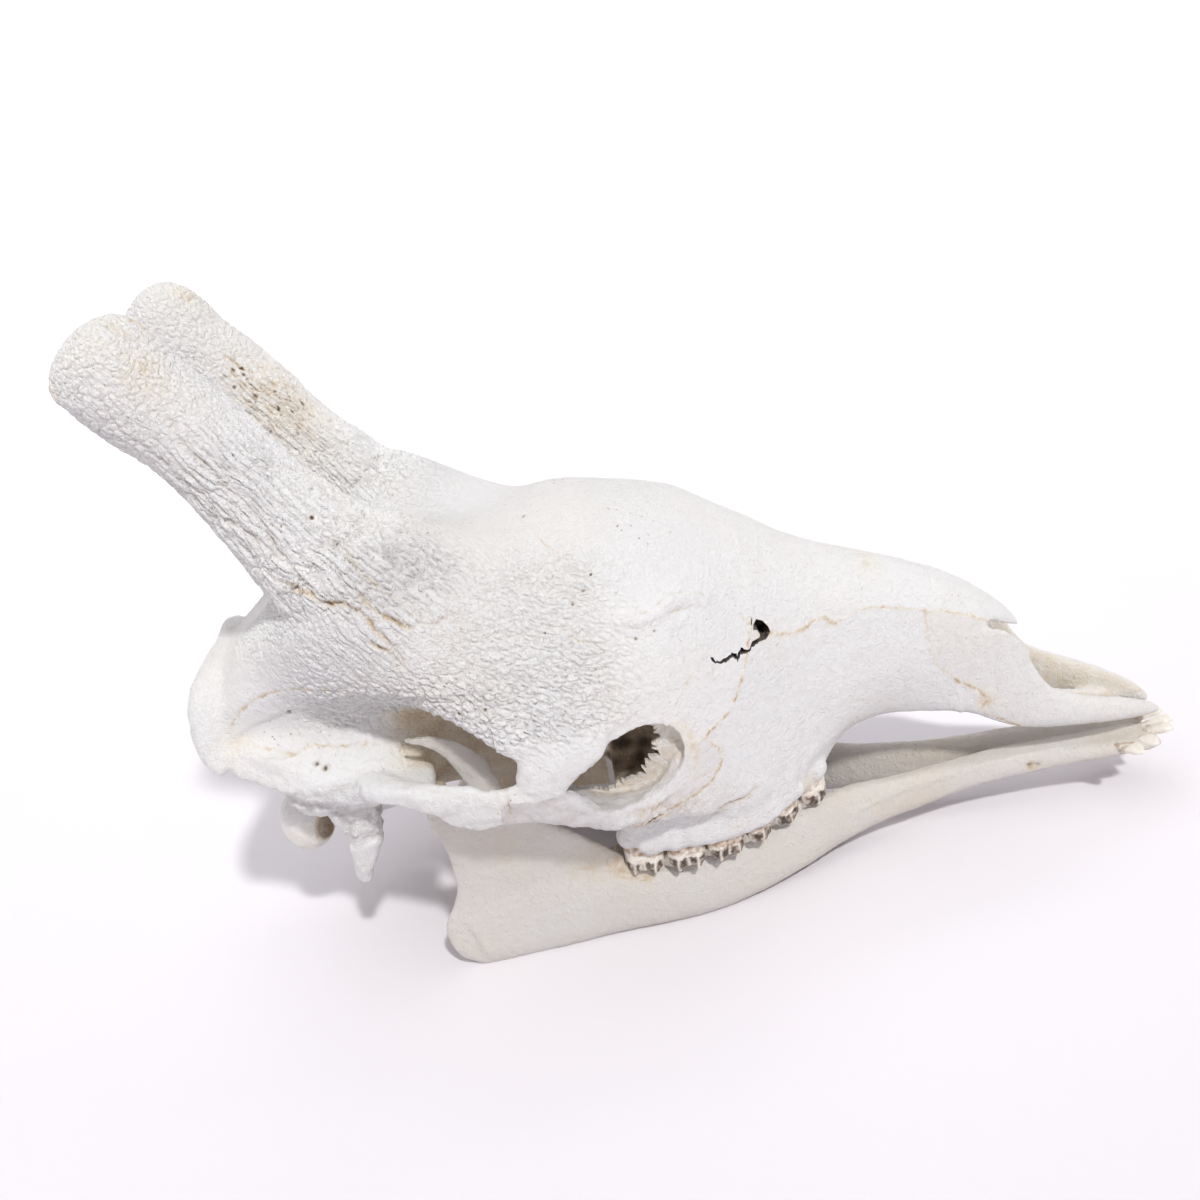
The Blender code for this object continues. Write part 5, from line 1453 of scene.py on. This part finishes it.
def cheek_marks(rows, side, upper):
    """Marks of a row of cheek teeth: brown band at the gum, black patches between the ribs, dark gaps."""
    def marks(points):
        bite = bite_plane(points[:, 1])
        above = np.abs(points[:, 2] - bite) if not upper else points[:, 2] - bite
        rib = np.zeros(len(points))
        gap = np.zeros(len(points))
        for k, (row, width) in enumerate(rows):
            centre, forward, outward, length = tooth_frame(row, width)
            flat = points[:, :2] * (1, side) - centre
            share = flat @ forward / (length / 2)
            here = (np.abs(share) <= 1.06) & (np.abs(flat @ outward) < width)
            ribs = (-0.93, -0.5, 0.0, 0.5, 0.93) if k < 3 else (-0.9, 0.0, 0.9)
            near = np.min([np.abs(share + 0.05 * noise(points, 5, 93) - at) for at in ribs], axis=0) * length / 2
            rib[here] = np.exp(-(near[here] / 1.1)**2)
            gap[here] = step_between(np.abs(share[here]), 0.93, 1.0)
        patchy = np.clip(0.6 + 0.9 * noise(points, 4, 84) + 0.5 * noise(points, 1.7, 85), 0, 1.3)
        ragged = above + 1.5 * noise(points, 3.0, 90) + 0.7 * noise(points, 1.2, 94)
        # Black patches along the bite: worn dentine, and painted shadow of the gap between upper and lower teeth.
        patch = step_between(ragged, 5.0, 3.4) * step_between(ragged, -4.4, -3.2) * (1 - 0.85 * rib)
        patch *= np.clip(1.0 + 0.9 * noise(points, 3.2, 95), 0, 1)
        gum = np.interp(points[:, 0], *zip(*GUM_LINE)) - points[:, 2] if upper else above - 9
        band = step_between(gum + noise(points, 2.5, 96), 4.2, 2.2) if upper else np.exp(-(gum / 2.2)**2)
        streak = np.clip(noise(points * (0.3, 0.3, 1), 1.5, 86) - 0.1, 0, 1) * step_between(above, 13, 8)
        stain = (0.75 * patch + 1.0 * band * np.clip(0.55 + 0.8 * noise(points, 3.5, 87), 0, 1)
                 + 0.8 * streak + 0.9 * gap)
        stain = np.maximum(stain, 0.35 * step_between(ragged, 8.5, 6) * (1 - rib) * patchy)
        dark = np.maximum(0.95 * patch * np.clip(patchy + 0.35, 0, 1), 0.85 * gap * step_between(above, 13, 9))
        share = 1.0 if upper else 0.35
        return stain * share, dark * share
    return marks


def front_marks(points):
    """Brown roots and white, faintly yellow crowns."""
    aside = np.abs(points[:, 1])
    neck = np.interp(aside, (6, 16, 22, 25, 31), (401, 397, 385, 382, 370)) - 15
    root = step_between(points[:, 0] + noise(points, 3, 98), neck + 3, neck - 3)
    patchy = np.clip(0.6 + 0.9 * noise(points, 4, 88) + 0.4 * noise(points, 1.6, 92), 0, 1.2)
    seam = np.clip(noise(points, 1.8, 97) - 0.35, 0, 1) * 1.2
    return 0.8 * root * patchy + 0.05 * patchy + 0.5 * seam, 0.3 * root * np.clip(noise(points, 3, 89), 0, 1)


class Nodes:
    """Short ways to add and join the nodes of one material; an input is a value or a socket to join."""

    def __init__(self, name):
        self.material = bpy.data.materials.new(name)
        self.material.use_nodes = True
        self.tree = self.material.node_tree

    def put(self, socket, value):
        """Set or join one input; a colour of three numbers is opaque."""
        if isinstance(value, bpy.types.NodeSocket):
            self.tree.links.new(value, socket)
        elif socket.type == "RGBA":
            socket.default_value = (*value, 1.0)
        else:
            socket.default_value = value

    def add(self, kind, inputs=(), **settings):
        """A node with these settings and inputs."""
        node = self.tree.nodes.new(kind)
        for key, value in settings.items():
            setattr(node, key, value)
        for key, value in dict(inputs).items():
            self.put(node.inputs[key], value)
        return node

    def shaded(self, **inputs):
        """The material, with inputs of its shader: an underscore stands for a space."""
        shader = self.tree.nodes["Principled BSDF"]
        for key, value in inputs.items():
            self.put(shader.inputs[key.replace("_", " ")], value)
        return self.material

    def place(self):
        """The object's own coordinates."""
        return self.add("ShaderNodeTexCoord").outputs["Object"]

    def marks(self):
        """What sculpt marked: stain, darkness, roughness and depth."""
        layer = self.add("ShaderNodeAttribute", attribute_name="marks")
        parts = self.add("ShaderNodeSeparateColor", {"Color": layer.outputs["Color"]})
        return parts.outputs[0], parts.outputs[1], parts.outputs[2], layer.outputs["Alpha"]

    def noise(self, where, scale, detail=4.0, roughness=0.55, distortion=0.0, output="Fac"):
        return self.add("ShaderNodeTexNoise", {"Vector": where, "Scale": scale, "Detail": detail,
                                               "Roughness": roughness, "Distortion": distortion}).outputs[output]

    def cells(self, where, scale, **settings):
        return self.add("ShaderNodeTexVoronoi", {"Vector": where, "Scale": scale}, **settings).outputs["Distance"]

    def ramp(self, value, low, high, start=0.0, end=1.0):
        return self.add("ShaderNodeMapRange", {"Value": value, "From Min": low, "From Max": high, "To Min": start,
                                               "To Max": end}).outputs["Result"]

    def math(self, operation, first, second):
        return self.add("ShaderNodeMath", {0: first, 1: second}, operation=operation).outputs[0]

    def plus(self, relief, pattern, strength):
        """The relief with a pattern of some strength added."""
        return self.math("ADD", relief, self.math("MULTIPLY", pattern, strength))

    def mix(self, share, first, second, blend="MIX"):
        return self.add("ShaderNodeMix", {"Factor": share, 6: first, 7: second}, data_type="RGBA",
                        blend_type=blend).outputs[2]

    def veil(self, colour, pattern, low, high, strength, tone):
        """The colour under a tone that grows to its strength as the pattern goes from low to high."""
        return self.mix(self.ramp(pattern, low, high, 0.0, strength), colour, tone)

    def bump(self, relief, strength, distance):
        return self.add("ShaderNodeBump", {"Strength": strength, "Distance": distance,
                                           "Height": relief}).outputs["Normal"]


def bone_look(name, pale, warm, roughness, grain, yellow, pores, dust):
    """Dry bone: cream with faint yellow clouds, brown where dirt settles and as painted shade, fine grain and pores."""
    n = Nodes(name)
    where = n.place()
    stain, dark, rough, deep = n.marks()
    colour = n.veil(pale, n.noise(where, 11.0, 4.0, 0.6), 0.40, 0.72, yellow, warm)
    colour = n.veil(colour, n.noise(where, 70.0, 5.0, 0.65), 0.50, 0.80, 0.20 * dust, (0.70, 0.66, 0.60))
    colour = n.veil(colour, n.noise(where, 16.0, 2.0, 0.5, 0.4), 0.52, 0.75, 0.30 * dust, (0.78, 0.80, 0.81))
    # Darker and browner in grooves and pits, growing with their depth.
    colour = n.veil(colour, deep, 0.50, 1.20, 0.34 * dust, (0.60, 0.53, 0.47))
    colour = n.veil(colour, n.noise(where, 480.0, 6.0, 0.75), 0.38, 0.66, 0.22 * dust, (0.62, 0.60, 0.58))
    patches = n.ramp(n.noise(where, 34.0, 3.0), 0.56, 0.66)
    holes = n.math("MULTIPLY", n.ramp(n.cells(where, 240.0), 0.20, 0.10), patches)
    colour = n.mix(n.math("MULTIPLY", holes, pores), colour, (0.34, 0.24, 0.15))
    # Painted shade: lavender grey is multiplied in where painted shade is marked, and where the cranium's own tone is
    # darker.
    tone_and_painted_shade = n.add("ShaderNodeAttribute", attribute_name="tone_and_painted_shade").outputs["Fac"]
    colour = n.mix(tone_and_painted_shade, colour, (0.775, 0.765, 0.775), "MULTIPLY")
    browns = n.mix(n.noise(where, 160.0, 4.0), (0.30, 0.15, 0.06), (0.56, 0.38, 0.21))
    blotch = n.ramp(n.noise(where, 420.0, 4.0, 0.7), 0.30, 0.62, 0.55, 1.0)
    stained = n.math("MULTIPLY", stain, blotch)
    colour = n.mix(n.ramp(stained, 0.0, 0.32), colour, (1.0, 0.925, 0.78), "MULTIPLY")
    colour = n.mix(n.ramp(stained, 0.14, 0.95), colour, browns)
    # Near black where dark is marked: in holes and pits, and as painted shadow inside the orbit.
    colour = n.mix(dark, colour, (0.045, 0.028, 0.018))
    sheen = n.ramp(n.noise(where, 130.0, 4.0), 0.3, 0.75, roughness - 0.08, roughness + 0.14)
    coarse = n.noise(where, 620.0, 5.0, 0.62, 0.3)
    relief = n.math("MULTIPLY", coarse, n.ramp(rough, 0.0, 1.0, 0.9 * grain, 0.8 * grain))
    relief = n.plus(relief, n.noise(where, 300.0, 1.0, 0.5, 0.9), n.ramp(rough, 0.0, 0.8, 2.2 * grain, 0.5 * grain))
    relief = n.plus(relief, n.noise(where, 1900.0, 3.0, 0.6), 0.22 * grain)
    drift = n.noise(where, 260.0, 2.0, 0.5, output="Color")
    bent = n.add("ShaderNodeVectorMath", {0: drift, 1: (0.0016, 0.0016, 0.0016), 2: where},
                 operation="MULTIPLY_ADD").outputs[0]
    leather_cells = n.ramp(n.cells(bent, 340.0, feature="DISTANCE_TO_EDGE"), 0.0, 0.22)
    relief = n.plus(relief, leather_cells, n.ramp(rough, 0.15, 1.0, 0.0, 0.6 * grain))
    relief = n.math("SUBTRACT", relief, n.math("MULTIPLY", holes, 0.6 * pores))
    return n.shaded(Base_Color=colour, Roughness=sheen, Specular_IOR_Level=0.42, Normal=n.bump(relief, 0.8, 0.0007))


def enamel_look(name):
    """Ivory enamel with streaks, brown cement and a soft gloss."""
    n = Nodes(name)
    where = n.place()
    stain, dark, _, _ = n.marks()
    colour = n.mix(n.noise(where, 90.0, 4.0), (0.93, 0.91, 0.87), (0.84, 0.77, 0.66))
    stretched = n.add("ShaderNodeMapping", {"Vector": where, "Scale": (1.0, 1.0, 0.18)}).outputs["Vector"]
    lines = n.noise(stretched, 900.0, 4.0)
    colour = n.veil(colour, lines, 0.52, 0.74, 0.28, (0.56, 0.43, 0.29))
    browns = n.mix(n.noise(where, 260.0, 4.0), (0.20, 0.10, 0.045), (0.50, 0.31, 0.15))
    blotch = n.ramp(n.noise(where, 600.0, 4.0, 0.7), 0.30, 0.60, 0.5, 1.0)
    colour = n.mix(n.math("MULTIPLY", stain, blotch), colour, browns)
    colour = n.mix(dark, colour, (0.03, 0.02, 0.015))
    relief = n.plus(lines, n.noise(where, 1500.0, 3.0), 0.5)
    return n.shaded(Base_Color=colour, Roughness=n.ramp(lines, 0.3, 0.7, 0.26, 0.48),
                    Normal=n.bump(relief, 0.5, 0.0004))


# Pale and warm colour, roughness, grain, yellow clouds, pores and dust of each bone.
ROOF_LOOK = ((0.927, 0.931, 0.923), (0.92, 0.88, 0.79), 0.49, 1.1, 0.4, 0.6, 0.5)
BONES = {
    "cranium_bone": ROOF_LOOK,
    "horn_bone": ROOF_LOOK,
    "cheek_bone": ((0.79, 0.775, 0.77), (0.76, 0.715, 0.66), 0.48, 1.0, 0.35, 0.5, 1.0),
    "nasal_bone": ((0.838, 0.843, 0.838), (0.825, 0.80, 0.735), 0.48, 1.0, 0.4, 0.5, 0.7),
    "maxilla_bone": ((0.83, 0.832, 0.83), (0.80, 0.775, 0.72), 0.45, 1.0, 0.35, 0.5, 1.15),
    "premaxilla_bone": ((0.81, 0.80, 0.78), (0.77, 0.73, 0.64), 0.45, 0.9, 0.35, 0.5, 1.2),
    # The jaw's darker, warm colour is partly its own tone and partly painted shade of its upright sides.
    "jaw_bone": ((0.69, 0.673, 0.64), (0.69, 0.62, 0.51), 0.42, 0.8, 0.65, 0.5, 0.8),
    # Painted shade: the near-black walls of the gap beside each nasal.
    "crevice_painted_shade": ((0.07, 0.042, 0.03), (0.03, 0.02, 0.016), 0.7, 0.6, 0.9, 0.5, 1.0),
}
LOOKS = {name: bone_look(name, *values) for name, values in BONES.items()}
ENAMEL = enamel_look("tooth_enamel")
CUT = Nodes("cut").shaded(Base_Color=(0.3, 0.2, 0.1))
SKIN = Nodes("skin").shaded(Base_Color=(0.8, 0.8, 0.8))

# Rows of cheek teeth: slot, ends and outer walls, width, height of the roots and of the foremost one, way that
# the crowns point, seed, and how far the outer cusps hang over.
TOOTH_ROWS = {
    "upper": ("maxilla_bone", UPPER_TEETH, UPPER_TOOTH_WIDTH, 80, 88, -1, 100, 5.6),
    "lower": ("jaw_bone", LOWER_TEETH, LOWER_TOOTH_WIDTH, 40, 40, 1, 120, 0.0),
}
TOOTH_GAP = 0.7


def teeth_of(side, way):
    """The cheek teeth and front teeth of one side; way is 1 on the left and -1 on the right."""
    for kind, (slot, table, wide, root, front_root, rise, seed, hang) in TOOTH_ROWS.items():
        rows = [((rear + TOOTH_GAP, front - TOOTH_GAP, y_rear, y_front), wide * (1 if k < 3 else PREMOLAR_WIDTH))
                for k, (rear, front, y_rear, y_front) in enumerate(table)]
        bodies = [cheek_tooth(row, width, front_root if k == 5 else root, rise, 2 if k < 3 else 1, seed + k, hang)
                  for k, (row, width) in enumerate(rows)]
        yield f"{kind}_teeth_{side}", bodies, slot, cheek_marks(rows, way, rise < 0)
    bodies = [front_tooth(*tooth, 140 + k) for k, tooth in enumerate(FRONT_TEETH)]
    yield f"front_teeth_{side}", bodies, "jaw_bone", front_marks


def build_skull():
    """All pieces: the cranium, then the bones and teeth of each side."""
    skin = build_upper()
    bones = part_bones(skin)
    bpy.data.objects.remove(skin, do_unlink=True)
    jaw = build_jaw()
    halves = islands(jaw)
    bpy.data.objects.remove(jaw, do_unlink=True)
    bone_piece("cranium", nearest_bone(bones, LANDMARKS["cranium"]), "cranium_bone")
    for side, way in (("left", 1), ("right", -1)):
        for kind, slot in PAIRED.items():
            bone_piece(f"{kind}_{side}", nearest_bone(bones, np.array(LANDMARKS[kind]) * (1, way, 1)), slot)
        bone_piece(f"mandible_{side}", nearest_bone(halves, np.array(LANDMARKS["mandible"]) * (1, way, 1)), "jaw_bone")
        for name, bodies, slot, marks_of in teeth_of(side, way):
            teeth_piece(name, bodies if way > 0 else [mirrored(body) for body in bodies], slot, marks_of)


# The studio: a round floor and wall, with the radius where the floor ends, the radius of the curve up into the
# wall and the wall's height.
FLOOR_RADIUS, CURVE_RADIUS, WALL_TOP = 2.6, 1.6, 2.2
# Suns: name, strength, angle in degrees, colour and the direction that it shines from.
SUNS = [
    ("key", 1.82, 4, (1.0, 0.995, 0.985), (0.34, -0.82, 1.15)),
    ("above", 1.15, 80, (0.985, 1.0, 1.0), (-0.25, -0.05, 1)),
]
WALL_LIGHT_AT, WALL_LIGHT_TO = (0.0, 1.3, 2.8), (0.0, 4.2, 0.9)
# The camera solved from the photograph: pixels of the frame, of the focal length and of the optical centre, and
# its place and directions in the skull frame.
FRAME_WIDTH, FOCAL_LENGTH, OPTICAL_CENTRE = 1200, 1121.8, (589.8, 599.8)
CAMERA_AT = (11.0, -669.0, 528.8)
CAMERA_AHEAD, CAMERA_RIGHT = (-0.0044, 0.9064, -0.4225), (0.9852, -0.0684, -0.1570)
SENSOR = 36.0


def build_floor(around=96, curve=12):
    """Pale floor that curves up into a round wall."""
    profile = [(0.8, 0.0), (1.8, 0.0), (FLOOR_RADIUS, 0.0)]
    for k in range(1, curve + 1):
        angle = math.pi / 2 * k / curve
        profile.append((FLOOR_RADIUS + CURVE_RADIUS * math.sin(angle), CURVE_RADIUS * (1 - math.cos(angle))))
    wall = FLOOR_RADIUS + CURVE_RADIUS
    profile += [(wall, WALL_TOP - 0.3), (wall, WALL_TOP)]
    points = [(0.0, 0.0, 0.0)]
    for radius, height in profile:
        for k in range(around):
            angle = 2 * math.pi * k / around
            points.append((radius * math.cos(angle), radius * math.sin(angle), height))
    faces = [(0, 1 + k, 1 + (k + 1) % around) for k in range(around)]
    for ring in range(len(profile) - 1):
        for k in range(around):
            a = 1 + ring * around + k
            b = 1 + ring * around + (k + 1) % around
            faces.append((a, a + around, b + around, b))
    mesh = bpy.data.meshes.new("studio_floor")
    mesh.from_pydata(points, [], faces)
    mesh.shade_smooth()
    floor = placed("studio_floor", mesh)
    n = Nodes("studio_floor")
    colour = n.mix(n.noise(n.place(), 3.0, 2.0), (0.87, 0.845, 0.875), (0.90, 0.875, 0.905))
    mesh.materials.append(n.shaded(Base_Color=colour, Roughness=0.9, Specular_IOR_Level=0.1))


def build_lights():
    """Faint sky, two suns and a light on the wall behind."""
    bpy.context.scene.view_settings.view_transform = "Standard"
    world = bpy.data.worlds.new("studio")
    bpy.context.scene.world = world
    world.use_nodes = True
    sky = world.node_tree.nodes["Background"]
    sky.inputs["Color"].default_value = (1.0, 0.90, 1.0, 1.0)
    sky.inputs["Strength"].default_value = 0.14
    for name, energy, angle, colour, toward in SUNS:
        lamp = bpy.data.lights.new(name, "SUN")
        lamp.energy = energy
        lamp.angle = math.radians(angle)
        lamp.color = colour
        placed(name, lamp).rotation_euler = Vector(toward).to_track_quat("Z", "Y").to_euler()
    lamp = bpy.data.lights.new("wall_light", "AREA")
    lamp.shape = "DISK"
    lamp.size = 2.4
    lamp.energy = 34.0
    light = placed("wall_light", lamp)
    light.location = WALL_LIGHT_AT
    light.rotation_euler = (Vector(WALL_LIGHT_TO) - light.location).to_track_quat("-Z", "Y").to_euler()
    light.visible_camera = False


def build_camera():
    """The photograph's camera."""
    lens = bpy.data.cameras.new("camera")
    lens.sensor_width = SENSOR
    lens.lens = FOCAL_LENGTH / FRAME_WIDTH * SENSOR
    lens.shift_x = (FRAME_WIDTH / 2 - OPTICAL_CENTRE[0]) / FRAME_WIDTH
    lens.shift_y = (OPTICAL_CENTRE[1] - FRAME_WIDTH / 2) / FRAME_WIDTH
    lens.clip_start = 0.05
    ahead = Vector(CAMERA_AHEAD).normalized()
    right = Vector(CAMERA_RIGHT)
    right = (right - ahead * right.dot(ahead)).normalized()
    camera = placed("camera", lens)
    turn = Matrix((right, right.cross(ahead), -ahead)).transposed()
    camera.matrix_world = Matrix.Translation(Vector((np.array(CAMERA_AT) + ORIGIN) * MM)) @ turn.to_4x4()
    bpy.context.scene.camera = camera


build_skull()
build_floor()
build_lights()
build_camera()
